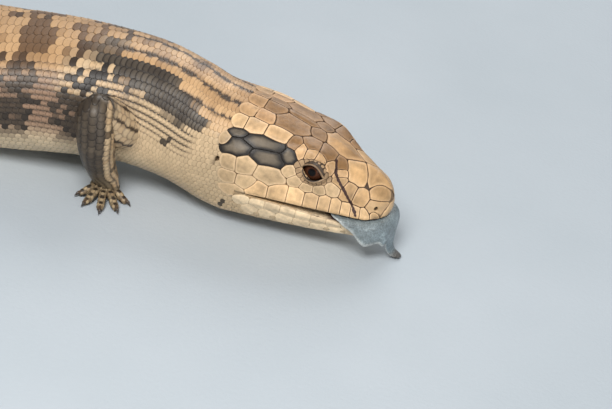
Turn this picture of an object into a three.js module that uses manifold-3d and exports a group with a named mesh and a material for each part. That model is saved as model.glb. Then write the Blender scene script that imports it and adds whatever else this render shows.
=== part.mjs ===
// A blue tongued skink, life size, lying low on its belly with its neck raised, its head held level
// and its broad blue tongue hanging from the mouth to the ground.
// Millimetres. +Z is up, +X runs forward along the trunk and +Y is the animal's left.
import * as THREE from "three";
import { mergeVertices } from "three/addons/utils/BufferGeometryUtils.js";
import Module from "manifold-3d";

const wasm = await Module();
wasm.setup();

// Stations along the animal, as distances from the tip of the snout
const NOSTRIL_AT = 3.0;
const EYE_AT = 19.6;
const MOUTH_CORNER_AT = 37.5;
const EAR_AT = 44.5;
const NECK_AT = 48.5;
const CHEST_AT = 60;
const SHOULDER_AT = 72;
const HIP_AT = 210;
const VENT_AT = 228;
const TAIL_MIDDLE_AT = 272;
const TAIL_END_AT = 318;
const TIP_AT = 365;

// Sizes that the rest is worked out from
const GAP = 0.3; // clear space between two parts that touch
const MOUTH_HEIGHT = 11.8; // line of the mouth above the ground
const HEAD_YAW = -15; // degrees that the head is turned to the animal's right
const SNOUT_ROUND = 5.2; // length over which the snout rounds off
const NOSE_HEIGHT = 2.8; // height of the snout's tip above the mouth line
const JAW_DROP = 3.6; // degrees that the lower jaw is open
const EYE_RADIUS = 3.2;
const EYE_OUT = 8.0; // from the middle of the head to the centre of the eye
const EYE_UP = 9.4; // from the mouth line to the centre of the eye
const LID_THICK = 1.05;
const PAD_RADIUS = 4.1; // of the palm or sole
const PAD_THICK = 1.9; // half the height of the palm or sole
const TOE_RADIUS = 1.0;
const CLAW_LENGTH = 1.5;
const RING = 36; // points round the trunk
const TAIL_RING = 24; // and round the tail

const radians = THREE.MathUtils.degToRad;
const clamp01 = (x) => Math.min(1, Math.max(0, x));
const lerp = (a, b, t) => a + (b - a) * t;
const ease = (from, to, x) => {
  const t = clamp01((x - from) / (to - from));
  return t * t * (3 - 2 * t);
};

// A smooth curve through [place, value] keys that never swings past them.
function rail(...keys) {
  const n = keys.length;
  const step = keys.slice(1).map((k, i) => k[0] - keys[i][0]);
  const rise = step.map((h, i) => (keys[i + 1][1] - keys[i][1]) / h);
  const slope = keys.map((_, i) => {
    if (i === 0) return rise[0];
    if (i === n - 1) return rise[n - 2];
    if (rise[i - 1] * rise[i] <= 0) return 0;
    const a = 2 * step[i] + step[i - 1];
    const b = step[i] + 2 * step[i - 1];
    return (a + b) / (a / rise[i - 1] + b / rise[i]);
  });
  return (at) => {
    let i = 0;
    while (i < n - 2 && at > keys[i + 1][0]) i++;
    const h = step[i];
    const t = clamp01((at - keys[i][0]) / h);
    const u = 1 - t;
    return (
      keys[i][1] * (1 + 2 * t) * u * u +
      slope[i] * h * t * u * u +
      keys[i + 1][1] * (3 - 2 * t) * t * t -
      slope[i + 1] * h * u * t * t
    );
  };
}

// The line that the body is built round: straight through the head, then over the raised neck,
// along the ground and round the curve of the tail.
const headBack = [Math.cos(radians(HEAD_YAW)), Math.sin(radians(HEAD_YAW))];
const SNOUT_TIP = [144.4, -18.6];
const onHead = (at) => [
  at,
  SNOUT_TIP[0] - headBack[0] * at,
  SNOUT_TIP[1] - headBack[1] * at,
  MOUTH_HEIGHT + 0.012 * at,
];
const spineKeys = [
  ...[0, 14, 28, 40].map(onHead),
  [50, 95.6, -6.2, 13.3],
  [60, 86.2, -3.9, 15.2],
  [SHOULDER_AT, 74.6, -1.6, 17.2],
  [90, 56.8, 0.6, 17.8],
  [108, 38.8, 1.8, 16.9],
  [150, -2.6, 2.4, 14.3],
  [188, -40.4, 0.2, 13.3],
  [HIP_AT, -62.2, -1.8, 12.0],
  [VENT_AT, -80.0, -2.6, 10.1],
  [262, -113.8, 0.6, 7.8],
  [298, -148.4, 10.2, 5.5],
  [332, -178.8, 25.2, 3.4],
  [TIP_AT, -206.4, 43.2, 1.2],
];
const spineRails = [1, 2, 3].map((axis) => rail(...spineKeys.map((k) => [k[0], k[axis]])));
const spinePoint = (at) => new THREE.Vector3(...spineRails.map((r) => r(at)));

// Forward, left and up directions at a station of the spine.
function spineFrame(at) {
  const near = 4;
  const ahead = spinePoint(Math.max(0, at - near));
  const behind = spinePoint(Math.min(TIP_AT, at + near));
  const forward = ahead.sub(behind).normalize();
  const left = new THREE.Vector3(0, 0, 1).cross(forward).normalize();
  return { origin: spinePoint(at), forward, left, up: forward.clone().cross(left) };
}

// A point given by its distance along the spine, and its left and up offsets there.
function atStation(at, left, up) {
  const f = spineFrame(at);
  return f.origin.addScaledVector(f.left, left).addScaledVector(f.up, up);
}

// Half width, height above the spine and depth below it, from the neck to the tip of the tail
const bodyWidth = rail(
  [40, 16.2], [52, 15.6], [60, 16.2], [SHOULDER_AT, 18.2], [108, 22.0], [150, 23.4],
  [188, 21.4], [HIP_AT, 16.6], [VENT_AT, 12.2], [262, 9.4], [298, 6.9], [332, 4.5], [358, 2.2],
  [TIP_AT, 0.5],
);
const bodyRise = rail(
  [40, 19.2], [52, 19.3], [60, 19.6], [SHOULDER_AT, 19.0], [90, 17.3], [108, 15.9], [150, 14.6],
  [188, 13.8], [HIP_AT, 12.2], [VENT_AT, 10.2], [262, 8.0], [298, 5.9], [332, 3.9], [358, 2.0],
  [TIP_AT, 0.5],
);
const bodyDepth = rail(
  [40, 10.0], [52, 10.8], [60, 11.4], [SHOULDER_AT, 12.6], [108, 16.8], [150, 14.7],
  [188, 13.7], [HIP_AT, 12.3], [VENT_AT, 10.3], [262, 7.95], [298, 5.7], [332, 3.6], [358, 1.7],
  [TIP_AT, 0.5],
);
const bodySquareness = rail([45, 2.2], [100, 2.35], [200, 2.3], [VENT_AT, 2.1], [TIP_AT, 2.0]);

const signedPower = (x, power) => Math.sign(x) * Math.abs(x) ** power;

// Left and up offsets of the body's skin at an angle measured from the top towards the right.
function bodyOutline(at, angle, grow) {
  const power = 2 / bodySquareness(at);
  const upright = Math.cos(angle);
  const height = upright > 0 ? bodyRise(at) : bodyDepth(at);
  return [
    -(bodyWidth(at) + grow) * signedPower(Math.sin(angle), power),
    (height + grow) * signedPower(upright, power),
  ];
}

// The head in section: heights above the mouth line and half widths, from the snout backwards
const crownHeight = rail([0, 8.8], [6, 10.6], [13, 13.2], [20, 15.7], [28, 18.0], [37, 19.4], [48, 20.0]);
const browWidth = rail([0, 3.6], [6, 5.0], [14, 7.4], [20, 8.8], [28, 9.6], [38, 11.4], [48, 12.4]);
const browDrop = rail([0, 2.2], [12, 2.3], [20, 1.7], [30, 2.8], [48, 4.2]);
const cheekWidth = rail(
  [0, 5.4], [6, 7.3], [12, 9.0], [20, 11.0], [28, 13.6], [37, 16.4], [44, 17.0], [50, 16.4],
);
const lipWidth = rail([0, 6.0], [6, 8.2], [12, 9.9], [20, 12.0], [28, 13.9], [37, 15.8], [46, 16.2]);
const jawDepth = rail([0, 3.9], [6, 5.0], [14, 6.6], [24, 8.2], [36, 9.8], [48, 11.2]);
const outlineAngles = [0, 44, 80, 104, 142, 180].map(radians);
const LIP_ANGLE = 100; // degrees round the section to the roll of the upper lip
const CHIN_LIP_ANGLE = 110; // and to the roll of the lower lip

// Left and up offsets of the head's skin at the same angle, before the snout is rounded.
function headOutline(at, angle) {
  const crown = crownHeight(at);
  const jaw = jawDepth(at);
  const widths = [0, browWidth(at), cheekWidth(at), lipWidth(at), lipWidth(at) * 0.8, 0];
  const heights = [crown, crown - browDrop(at), crown * 0.44, 0, -jaw * 0.83, -jaw];
  const turn = angle > Math.PI ? 2 * Math.PI - angle : angle;
  const across = rail(
    [-outlineAngles[1], -widths[1]],
    ...outlineAngles.map((a, i) => [a, widths[i]]),
    [2 * Math.PI - outlineAngles[4], -widths[4]],
  );
  const height = rail(...outlineAngles.map((a, i) => [a, heights[i]]));
  return [angle > Math.PI ? across(turn) : -across(turn), height(turn)];
}

// Angles at which the head is drawn, closer together along the lips
const rightAngles = [12, 24, 36, 47, 57, 67, 76, 84, 90, 94, 98, 101.5, 104.5, 108, 113, 120, 131, 145, 162];
const headAngles = [0, ...rightAngles, 180, ...rightAngles.map((a) => 360 - a).reverse()].map(radians);
const bodyAngles = (sides) => Array.from({ length: sides }, (_, i) => (2 * Math.PI * i) / sides);

// A soft swelling of the head round a place given by station and angle.
const swell = (at, angle, place, degrees, length, spread) =>
  Math.exp(-(((at - place) / length) ** 2) - ((angle - radians(degrees)) / radians(spread)) ** 2);

// How far the lips stand out at an angle, with a shallow groove above the upper one.
function lipRoll(angle) {
  const roll = (degrees, spread) => Math.exp(-(((angle - radians(degrees)) / radians(spread)) ** 2));
  return 0.55 * roll(LIP_ANGLE, 3.6) - 0.35 * roll(LIP_ANGLE - 10, 4.5) + 0.5 * roll(CHIN_LIP_ANGLE, 4.5);
}

// Left and up offsets of the skin anywhere on the animal.
function outline(at, angle, grow = 0) {
  const body = bodyOutline(at, angle, grow);
  const blend = ease(39, 57, at);
  if (blend >= 1) return body;
  const head = headOutline(at, angle);
  const side = angle > Math.PI ? 2 * Math.PI - angle : angle;
  const out =
    grow +
    0.9 * swell(at, side, EYE_AT - 0.5, 46, 5.5, 20) +
    0.8 * swell(at, side, 36, 84, 6, 26) -
    0.5 * swell(at, side, 12, 62, 5, 16) +
    ease(MOUTH_CORNER_AT + 3, MOUTH_CORNER_AT - 8, at) * lipRoll(side);
  const centre = crownHeight(at) * 0.35;
  const reach = Math.hypot(head[0], head[1] - centre);
  head[0] *= 1 + out / reach;
  head[1] = centre + (head[1] - centre) * (1 + out / reach);
  const tip = 1 - Math.min(at, SNOUT_ROUND) / SNOUT_ROUND;
  const round = Math.sqrt(1 - tip * tip);
  head[0] *= round;
  head[1] = NOSE_HEIGHT + (head[1] - NOSE_HEIGHT) * round;
  return [lerp(head[0], body[0], blend), lerp(head[1], body[1], blend)];
}

// A closed skin over rings of points, with a fan of triangles over each end.
function skinOver(rings) {
  const n = rings[0].length;
  const points = rings.flat();
  const middle = (ring) =>
    ring.reduce((sum, p) => sum.add(p), new THREE.Vector3()).divideScalar(ring.length);
  const first = points.push(middle(rings[0])) - 1;
  const last = points.push(middle(rings.at(-1))) - 1;
  const faces = [];
  for (let i = 0; i < n; i++) {
    const j = (i + 1) % n;
    faces.push(first, j, i, last, (rings.length - 1) * n + i, (rings.length - 1) * n + j);
    for (let r = 0; r < rings.length - 1; r++) {
      const [a, b, c, d] = [r * n + i, r * n + j, (r + 1) * n + j, (r + 1) * n + i];
      faces.push(a, b, c, a, c, d);
    }
  }
  const geometry = new THREE.BufferGeometry().setFromPoints(points);
  geometry.setIndex(faces);
  return geometry;
}

// Turns closed geometry into a solid that can be joined and cut.
function solid(geometry) {
  const bare = geometry.clone();
  bare.deleteAttribute("normal");
  bare.deleteAttribute("uv");
  const merged = mergeVertices(bare, 1e-4);
  const triVerts = new Uint32Array(merged.index.array);
  const build = () =>
    new wasm.Manifold(
      new wasm.Mesh({ numProp: 3, vertProperties: merged.attributes.position.array, triVerts }),
    );
  const made = build();
  if (made.volume() > 0) return made;
  for (let i = 0; i < triVerts.length; i += 3)
    [triVerts[i + 1], triVerts[i + 2]] = [triVerts[i + 2], triVerts[i + 1]];
  return build();
}

const join = (pieces) => pieces.reduce((all, piece) => all.add(piece));

// The largest closed body of a solid, so that no scrap of a cut is left.
const largest = (made) =>
  made.decompose().reduce((best, body) => (body.volume() > best.volume() ? body : best));

// The body between two stations, as one closed solid.
function bodySolid(from, to, rings, sides, grow = 0) {
  const made = [];
  for (let r = 0; r <= rings; r++) {
    const at = lerp(from, to, r / rings);
    made.push(ringAt(at, bodyAngles(sides), grow));
  }
  return solid(skinOver(made));
}

// The points of the skin at one station, at the given angles round it.
function ringAt(at, angles, grow = 0) {
  const f = spineFrame(at);
  return angles.map((angle) => {
    const [left, up] = outline(at, angle, grow);
    return f.origin.clone().addScaledVector(f.left, left).addScaledVector(f.up, up);
  });
}

// A box between two corners given in millimetres.
function block(low, high) {
  const size = high.map((v, i) => v - low[i]);
  const centre = high.map((v, i) => (v + low[i]) / 2);
  return solid(new THREE.BoxGeometry(...size).translate(...centre));
}

const ground = block([-400, -300, -60], [400, 300, 0]);

// A ball or egg with its radii along forward, left and up of a station.
function egg(at, left, up, radii, detail = [16, 12]) {
  const f = spineFrame(at);
  const place = atStation(at, left, up);
  const basis = new THREE.Matrix4().makeBasis(f.forward, f.left, f.up).setPosition(place);
  const ball = new THREE.SphereGeometry(1, ...detail).rotateX(Math.PI / 2);
  return solid(ball.scale(...radii).applyMatrix4(basis));
}

// How far along a row of points each one lies.
const distances = (points) =>
  points.map((_, i) => points.slice(1, i + 1).reduce((sum, p, j) => sum + p.distanceTo(points[j]), 0));

// A rounded limb along a smooth path. Each key is a point, its half width and its half height.
// The width lies across the path and `upward`. It can start or end part way along the path.
function limb(keys, upward, sides, steps, from = 0, to = 1, grow = 0) {
  const points = keys.map((k) => new THREE.Vector3(...k[0]));
  const run = distances(points);
  const rails = ["x", "y", "z"].map((axis) => rail(...points.map((p, i) => [run[i], p[axis]])));
  const width = rail(...keys.map((k, i) => [run[i], k[1]]));
  const height = rail(...keys.map((k, i) => [run[i], k[2]]));
  const place = (t) => new THREE.Vector3(...rails.map((r) => r(t)));
  const total = run.at(-1);
  const rings = [];
  for (let i = 0; i <= steps; i++) {
    const t = lerp(from, to, i / steps) * total;
    const along = place(Math.min(total, t + 1)).sub(place(Math.max(0, t - 1))).normalize();
    const across = along.clone().cross(upward).normalize();
    const over = across.clone().cross(along);
    rings.push(
      Array.from({ length: sides }, (_, k) => {
        const turn = (2 * Math.PI * k) / sides;
        return place(t)
          .addScaledVector(across, (width(t) + grow) * Math.cos(turn))
          .addScaledVector(over, (height(t) + grow) * Math.sin(turn));
      }),
    );
  }
  return solid(skinOver(rings));
}

const root = new THREE.Group();
const finishes = {
  scaledSkin: new THREE.MeshStandardMaterial({ color: 0xa88a66, roughness: 0.5 }),
  paleSkin: new THREE.MeshStandardMaterial({ color: 0xcdbb98, roughness: 0.5 }),
  darkSkin: new THREE.MeshStandardMaterial({ color: 0x4f4a42, roughness: 0.55 }),
  tongueFlesh: new THREE.MeshStandardMaterial({ color: 0x7492a6, roughness: 0.4 }),
  wetEye: new THREE.MeshStandardMaterial({ color: 0x2a170d, roughness: 0.1 }),
};

// Adds a solid to the model as a named mesh, with everything below the ground cut away.
function addPart(name, made, finish) {
  const kept = largest(made.subtract(ground));
  const { numVert, vertProperties, triVerts } = kept.getMesh();
  const geometry = new THREE.BufferGeometry();
  geometry.setAttribute(
    "position",
    new THREE.BufferAttribute(new Float32Array(vertProperties.slice(0, numVert * 3)), 3),
  );
  geometry.setIndex(new THREE.BufferAttribute(triVerts, 1));
  geometry.computeVertexNormals();
  const mesh = new THREE.Mesh(geometry, finish.clone());
  mesh.name = name;
  root.add(mesh);
  return mesh;
}

// Head and lower jaw: one form, parted along the mouth
const headStations = [];
for (let i = 0; i <= 6; i++) headStations.push(SNOUT_ROUND * (1 - Math.cos((i / 6) * (Math.PI / 2))));
headStations[0] = 0.02;
for (let at = SNOUT_ROUND + 2; at < NECK_AT - 1.5; at += 2.2) headStations.push(at);
headStations.push(NECK_AT - GAP / 2);
const wholeHead = solid(skinOver(headStations.map((at) => ringAt(at, headAngles))));

// A flat-sided wedge of the head, drawn from the side as [station, height above the mouth line].
function headWedge(corners, dropped) {
  const hinge = new THREE.Vector2(MOUTH_CORNER_AT, 0);
  const shape = new THREE.Shape(
    corners.map(([at, up]) =>
      new THREE.Vector2(at, up).rotateAround(hinge, dropped ? radians(JAW_DROP) : 0),
    ),
  );
  const f = spineFrame(10);
  const basis = new THREE.Matrix4()
    .makeBasis(f.forward.clone().negate(), f.up, f.left)
    .setPosition(spinePoint(0));
  const slab = new THREE.ExtrudeGeometry(shape, { depth: 60, bevelEnabled: false });
  return solid(slab.translate(0, 0, -30).applyMatrix4(basis));
}

const jawCorners = (grow) => [
  [-6, -GAP + grow],
  [MOUTH_CORNER_AT - 6, -GAP + grow],
  [MOUTH_CORNER_AT + grow, 0.4 * GAP + grow],
  [MOUTH_CORNER_AT + 2.5 + grow, -4],
  [MOUTH_CORNER_AT + 2.5 + grow, -20],
  [-6, -20],
];
const jawHinge = spineFrame(MOUTH_CORNER_AT);
const dropJaw = (made) => {
  const pivot = jawHinge.origin;
  const turn = new THREE.Matrix4()
    .makeTranslation(pivot)
    .multiply(new THREE.Matrix4().makeRotationAxis(jawHinge.left, radians(JAW_DROP)))
    .multiply(new THREE.Matrix4().makeTranslation(pivot.clone().negate()));
  return made.transform(turn.elements);
};
const lowerJaw = dropJaw(wholeHead.intersect(headWedge(jawCorners(0), false)));
const mouthRoom = headWedge(jawCorners(GAP), false).add(headWedge(jawCorners(GAP), true));

// Tongue: a broad sheet that comes out between the lips, turns down over the lower one like an
// apron and narrows to a tip on the ground. Each key is [forward of the snout, height above the
// mouth line, half width of the part that lies flat, hang of the right edge, hang of the left edge].
const tongueKeys = [
  [-15.0, -0.3, 7.0, 0.1, 0.1],
  [-11.0, -0.6, 10.2, 0.7, 0.5],
  [-7.5, -0.9, 9.6, 2.6, 1.6],
  [-4.2, -1.0, 8.2, 5.6, 3.6],
  [-1.6, -0.9, 6.7, 6.9, 5.0],
  [0.2, -1.2, 5.2, 6.4, 5.2],
  [1.3, -3.0, 4.2, 4.7, 4.0],
  [1.6, -5.6, 3.0, 2.4, 2.2],
  [1.8, -8.4, 2.2, 0.9, 0.9],
  [3.2, -10.6, 1.6, 0.3, 0.3],
  [5.6, -11.1, 1.2, 0.2, 0.2],
];
const TONGUE_THICK = 1.0; // half thickness along the middle
const TONGUE_RIM = 0.4; // half thickness at the edges
const TONGUE_BEND = 1.2; // how far the sheet stands out as it turns down
const TONGUE_END = 2.0; // length over which the tip rounds off

function tongueSolid(grow, sides = 18, steps = 24) {
  const f = spineFrame(10);
  const place = ([ahead, up]) =>
    spinePoint(0).addScaledVector(f.forward, ahead).addScaledVector(f.up, up);
  const points = tongueKeys.map(place);
  const run = distances(points);
  const rails = ["x", "y", "z"].map((axis) => rail(...points.map((p, i) => [run[i], p[axis]])));
  const [flat, hangRight, hangLeft] = [2, 3, 4].map((column) =>
    rail(...run.map((t, i) => [t, tongueKeys[i][column]])),
  );
  const total = run.at(-1);
  const ends = (t) => Math.sqrt(1 - Math.max(0, 1 - (total - t) / TONGUE_END) ** 2) * 0.92 + 0.08;
  const middle = (t, across) => {
    const reach = Math.abs(across) * (flat(t) + (across > 0 ? hangLeft(t) : hangRight(t))) * ends(t);
    const past = Math.max(0, reach - flat(t) * ends(t));
    const turned = TONGUE_BEND * (1 - Math.exp(-past / TONGUE_BEND));
    return new THREE.Vector3(...rails.map((r) => r(t)))
      .addScaledVector(f.left, Math.sign(across) * (reach - past + turned))
      .addScaledVector(f.up, turned - past);
  };
  const rings = [];
  for (let i = 0; i <= steps; i++) {
    const t = (i / steps) * total;
    const ring = [];
    for (let k = 0; k < sides; k++) {
      const turn = (2 * Math.PI * (k + 0.5)) / sides;
      const across = Math.cos(turn);
      const ahead = middle(Math.min(total, t + 0.2), across).sub(middle(Math.max(0, t - 0.2), across));
      const sideways = middle(t, across + 0.02).sub(middle(t, across - 0.02));
      const normal = ahead.cross(sideways).normalize();
      const thick = lerp(TONGUE_THICK, TONGUE_RIM, Math.abs(across)) * ends(t) + grow;
      const edge = grow * across;
      ring.push(
        middle(t, across).addScaledVector(normal, thick * Math.sin(turn)).addScaledVector(f.left, edge),
      );
    }
    rings.push(ring);
  }
  return solid(skinOver(rings));
}
const tongue = tongueSolid(0);
const tongueRoom = tongueSolid(GAP);

// Eyes, each a ball in a socket behind an almond-shaped opening between the lids
const LID_RADIUS = EYE_RADIUS + LID_THICK;
const LID_BACK = [-3.1, 0.1]; // corners of the opening, forward and up from the centre of the eye
const LID_FRONT = [3.3, -0.3];
const LID_ARCH = 4.2; // height of the curve that each lid follows
function lidOpening(side) {
  const f = spineFrame(EYE_AT);
  const outward = f.left.clone().multiplyScalar(side).addScaledVector(f.up, 0.12).normalize();
  const along = f.forward.clone().addScaledVector(f.up, -0.16).normalize();
  const upward = along.clone().cross(outward).normalize().multiplyScalar(side);
  const almond = new THREE.Shape();
  almond.moveTo(...LID_BACK);
  almond.quadraticCurveTo(0.1, LID_ARCH, ...LID_FRONT);
  almond.quadraticCurveTo(0.1, -LID_ARCH, ...LID_BACK);
  const slab = new THREE.ExtrudeGeometry(almond, { depth: 9, bevelEnabled: false, curveSegments: 6 });
  const basis = new THREE.Matrix4()
    .makeBasis(outward.clone().cross(upward).multiplyScalar(side), upward, outward)
    .setPosition(atStation(EYE_AT, side * EYE_OUT, EYE_UP));
  return solid(slab.applyMatrix4(basis));
}

// Shields of the head, as [station, degrees from the top, half length, half width]. Those off the
// middle line are on both sides. Each is a low plate with a sloping rim.
const shields = [
  [5.4, 0, 2.5, 4.2],
  [9.6, 27, 2.5, 2.7],
  [15.8, 0, 4.6, 2.4],
  [13.2, 36, 1.7, 2.0],
  [17.2, 33, 1.9, 2.4],
  [21.4, 34, 1.9, 2.4],
  [26.9, 0, 3.6, 1.4],
  [28.6, 20, 4.3, 2.5],
  [34.6, 9, 1.9, 2.7],
  [38.8, 9, 1.9, 2.9],
  [31.4, 41, 2.7, 2.1],
  [37.2, 37, 2.6, 2.5],
  [32.6, 56, 4.2, 1.6],
  [30.6, 70, 3.8, 1.8],
  [29.6, 87, 2.8, 1.9],
  [35.8, 84, 2.4, 2.0],
];
const SHIELD_RISE = 0.35; // height above the skin
const SHIELD_ROOT = -0.8; // depth of the hidden foot
const SHIELD_SIDES = 6;

function shieldPlate([at, degrees, long, wide], side) {
  const f = spineFrame(at);
  const onSkin = (station, angle, grow) => ringAt(station, [angle], grow)[0];
  const angle = radians(degrees) * side;
  const around = (angle + 2 * Math.PI) % (2 * Math.PI);
  const radius = onSkin(at, around, 0).distanceTo(atStation(at, 0, crownHeight(at) * 0.35));
  const ring = (share, grow) =>
    Array.from({ length: SHIELD_SIDES }, (_, k) => {
      const turn = (2 * Math.PI * (k + 0.5)) / SHIELD_SIDES;
      const station = at + Math.cos(turn) * long * share;
      const turned = (around + (Math.sin(turn) * wide * share) / radius + 2 * Math.PI) % (2 * Math.PI);
      return onSkin(station, turned, grow);
    });
  return solid(skinOver([ring(0.9, SHIELD_ROOT), ring(1.0, 0.02), ring(0.8, SHIELD_RISE)]));
}

let head = wholeHead.subtract(mouthRoom).subtract(tongueRoom);
for (const side of [-1, 1]) {
  const lidRadii = [LID_RADIUS, LID_RADIUS - 0.25, LID_RADIUS - 0.3];
  const lids = egg(EYE_AT, side * EYE_OUT, EYE_UP, lidRadii, [14, 10]);
  const socket = egg(EYE_AT, side * EYE_OUT, EYE_UP, Array(3).fill(EYE_RADIUS + GAP), [12, 9]);
  const nostril = egg(NOSTRIL_AT, side * 5.6, 3.6, [0.85, 1.5, 0.7], [8, 6]);
  const ear = egg(EAR_AT, side * 17.0, 3.4, [1.0, 2.0, 2.4], [10, 8]);
  head = head.add(lids).subtract(socket).subtract(lidOpening(side)).subtract(nostril).subtract(ear);
  for (const shield of shields)
    if (side < 0 || shield[1] > 0) head = head.add(shieldPlate(shield, side));
}
addPart("head", head, finishes.scaledSkin);
addPart("lower_jaw", lowerJaw.subtract(tongueRoom), finishes.paleSkin);
addPart("tongue", tongue, finishes.tongueFlesh);
for (const [name, side] of [["eye_right", -1], ["eye_left", 1]])
  addPart(name, egg(EYE_AT, side * EYE_OUT, EYE_UP, Array(3).fill(EYE_RADIUS), [12, 9]), finishes.wetEye);

// Neck, trunk and tail, parted by thin cuts square to the spine
const lengths = [
  ["neck", NECK_AT, CHEST_AT, 5, RING],
  ["torso", CHEST_AT, VENT_AT, 22, RING],
  ["tail_base", VENT_AT, TAIL_MIDDLE_AT, 7, TAIL_RING],
  ["tail_middle", TAIL_MIDDLE_AT, TAIL_END_AT, 7, TAIL_RING],
];
for (const [name, from, to, rings, sides] of lengths)
  addPart(name, bodySolid(from + GAP / 2, to - GAP / 2, rings, sides), finishes.scaledSkin);
addPart("tail_end", bodySolid(TAIL_END_AT + GAP / 2, TIP_AT, 12, TAIL_RING - 8), finishes.scaledSkin);

// Legs. Each key is a point with the half width and half height of the limb there, from the root
// inside the trunk to the middle of the palm or sole. The foot begins at the key numbered WRIST.
const WRIST = 5;
const FRONT_TOES = { fan: [-52, -25, 0, 24, 52], lengths: [5.0, 7.2, 8.4, 7.6, 5.4], heel: 2.5 };
const HIND_TOES = { fan: [-54, -27, -5, 16, 46], lengths: [3.8, 5.8, 7.4, 8.6, 5.4], heel: 2.6 };
const legs = {
  foreleg_right: {
    keys: [
      [[79, -9, 14], 5.2, 5.0],
      [[73.5, -17.5, 19], 5.6, 5.4],
      [[66.8, -22.8, 25.0], 5.0, 5.0],
      [[67.8, -24.4, 18.6], 4.8, 4.9],
      [[69.0, -22.4, 12.0], 4.3, 4.3],
      [[70.2, -19.4, 6.8], 4.5, 3.4],
      [[71.2, -17.8, 2.9], 4.3, 2.4],
    ],
    upward: [-0.5, -0.8, 0.5],
    toes: FRONT_TOES,
    mirrored: false,
    aim: -86,
  },
  foreleg_left: {
    keys: [
      [[79, 6, 14], 5.2, 5.0],
      [[73, 15, 18], 5.6, 5.4],
      [[65.0, 22.0, 20.5], 5.0, 5.1],
      [[63.4, 24.6, 14.6], 4.8, 4.9],
      [[62.4, 25.6, 9.4], 4.2, 4.2],
      [[62.8, 26.2, 5.6], 3.9, 3.2],
      [[64.2, 27.6, 2.5], 3.8, 2.3],
    ],
    upward: [-0.5, 0.8, 0.5],
    toes: FRONT_TOES,
    mirrored: true,
    aim: 62,
  },
  hindleg_right: {
    keys: [
      [[-66, -6, 11], 6.0, 5.6],
      [[-60, -16, 13], 6.4, 6.0],
      [[-51, -26, 14.6], 5.6, 5.4],
      [[-55.5, -31, 10.8], 5.0, 4.9],
      [[-60.0, -34.6, 7.2], 4.3, 4.1],
      [[-62.6, -37.0, 4.6], 3.9, 3.2],
      [[-64.0, -39.6, 2.6], 4.0, 2.3],
    ],
    upward: [-0.5, -0.4, 0.8],
    toes: HIND_TOES,
    mirrored: false,
    aim: -40,
  },
  hindleg_left: {
    keys: [
      [[-66, 4, 11], 6.0, 5.6],
      [[-62, 14, 13], 6.4, 6.0],
      [[-56, 24, 14.0], 5.6, 5.4],
      [[-62, 28, 10.6], 5.0, 4.9],
      [[-67.4, 31.0, 7.2], 4.3, 4.1],
      [[-70.6, 33.2, 4.6], 3.9, 3.2],
      [[-72.2, 35.8, 2.6], 4.0, 2.3],
    ],
    upward: [-0.5, 0.4, 0.8],
    toes: HIND_TOES,
    mirrored: true,
    aim: 46,
  },
};

const bodyRoom = bodySolid(CHEST_AT - 12, VENT_AT + 8, 44, RING, GAP);

// One toe with its claw, from inside the palm, over a raised knuckle to the ground.
function toe(palm, direction, heel, length) {
  const out = new THREE.Vector3(Math.cos(radians(direction)), Math.sin(radians(direction)), 0);
  const along = (reach, up) => [palm.x + out.x * reach, palm.y + out.y * reach, up];
  const up = new THREE.Vector3(0, 0, 1);
  const tip = heel + length;
  const digit = [
    [along(0.4, 1.6), 1.0, 0.9],
    [along(heel + length * 0.35, 1.9), TOE_RADIUS, TOE_RADIUS],
    [along(heel + length * 0.8, 1.0), TOE_RADIUS * 0.95, TOE_RADIUS * 0.95],
    [along(tip, 0.8), 0.55, 0.6],
  ];
  const claw = [
    [along(tip - 1, 1.25), 0.55, 0.65],
    [along(tip + CLAW_LENGTH * 0.35, 1.1), 0.42, 0.5],
    [along(tip + CLAW_LENGTH, 0.35), 0.12, 0.14],
  ];
  return limb(digit, up, 7, 4).add(limb(claw, up, 5, 2));
}

for (const [name, leg] of Object.entries(legs)) {
  const upward = new THREE.Vector3(...leg.upward).normalize();
  const points = leg.keys.map((k) => new THREE.Vector3(...k[0]));
  const run = distances(points);
  const wrist = run[WRIST] / run.at(-1);
  const cut = GAP / 2 / run.at(-1);
  const upper = limb(leg.keys, upward, 14, 14, 0, wrist - cut);
  addPart(name, upper.subtract(bodyRoom), finishes.darkSkin);
  const palm = points.at(-1);
  const { fan, lengths, heel } = leg.toes;
  const turns = leg.mirrored ? fan.map((a) => -a) : fan;
  const toes = turns.map((turn, i) => toe(palm, leg.aim + turn, heel, lengths[i]));
  const sole = limb(leg.keys, upward, 14, 4, wrist + cut, 1);
  const ball = new THREE.SphereGeometry(1, 10, 7).scale(PAD_RADIUS, PAD_RADIUS, PAD_THICK);
  const pad = solid(ball.translate(palm.x, palm.y, PAD_THICK - 0.2));
  const legRoom = limb(leg.keys, upward, 14, 14, 0, wrist, GAP).add(bodyRoom);
  addPart(name.replace("leg", "foot"), join([sole, pad, ...toes]).subtract(legRoom), finishes.darkSkin);
}

export default root;
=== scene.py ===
# %% [markdown]
# # A blue tongued skink in scales
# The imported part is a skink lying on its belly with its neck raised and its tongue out. This scene
# dresses it: one unbroken skin takes the place of the solids' flesh, and on it lie the large shields
# of the head, several thousand overlapping scales, claws, wet eyes and a soft tongue.
# The sizes below are those of the solids, in millimetres, and a mesh is scaled to metres as it is made.

# %% Setup
import math

import bmesh
import bpy
import numpy as np
from mathutils import Matrix, Vector
from mathutils.bvhtree import BVHTree
from mathutils.kdtree import KDTree


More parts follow.
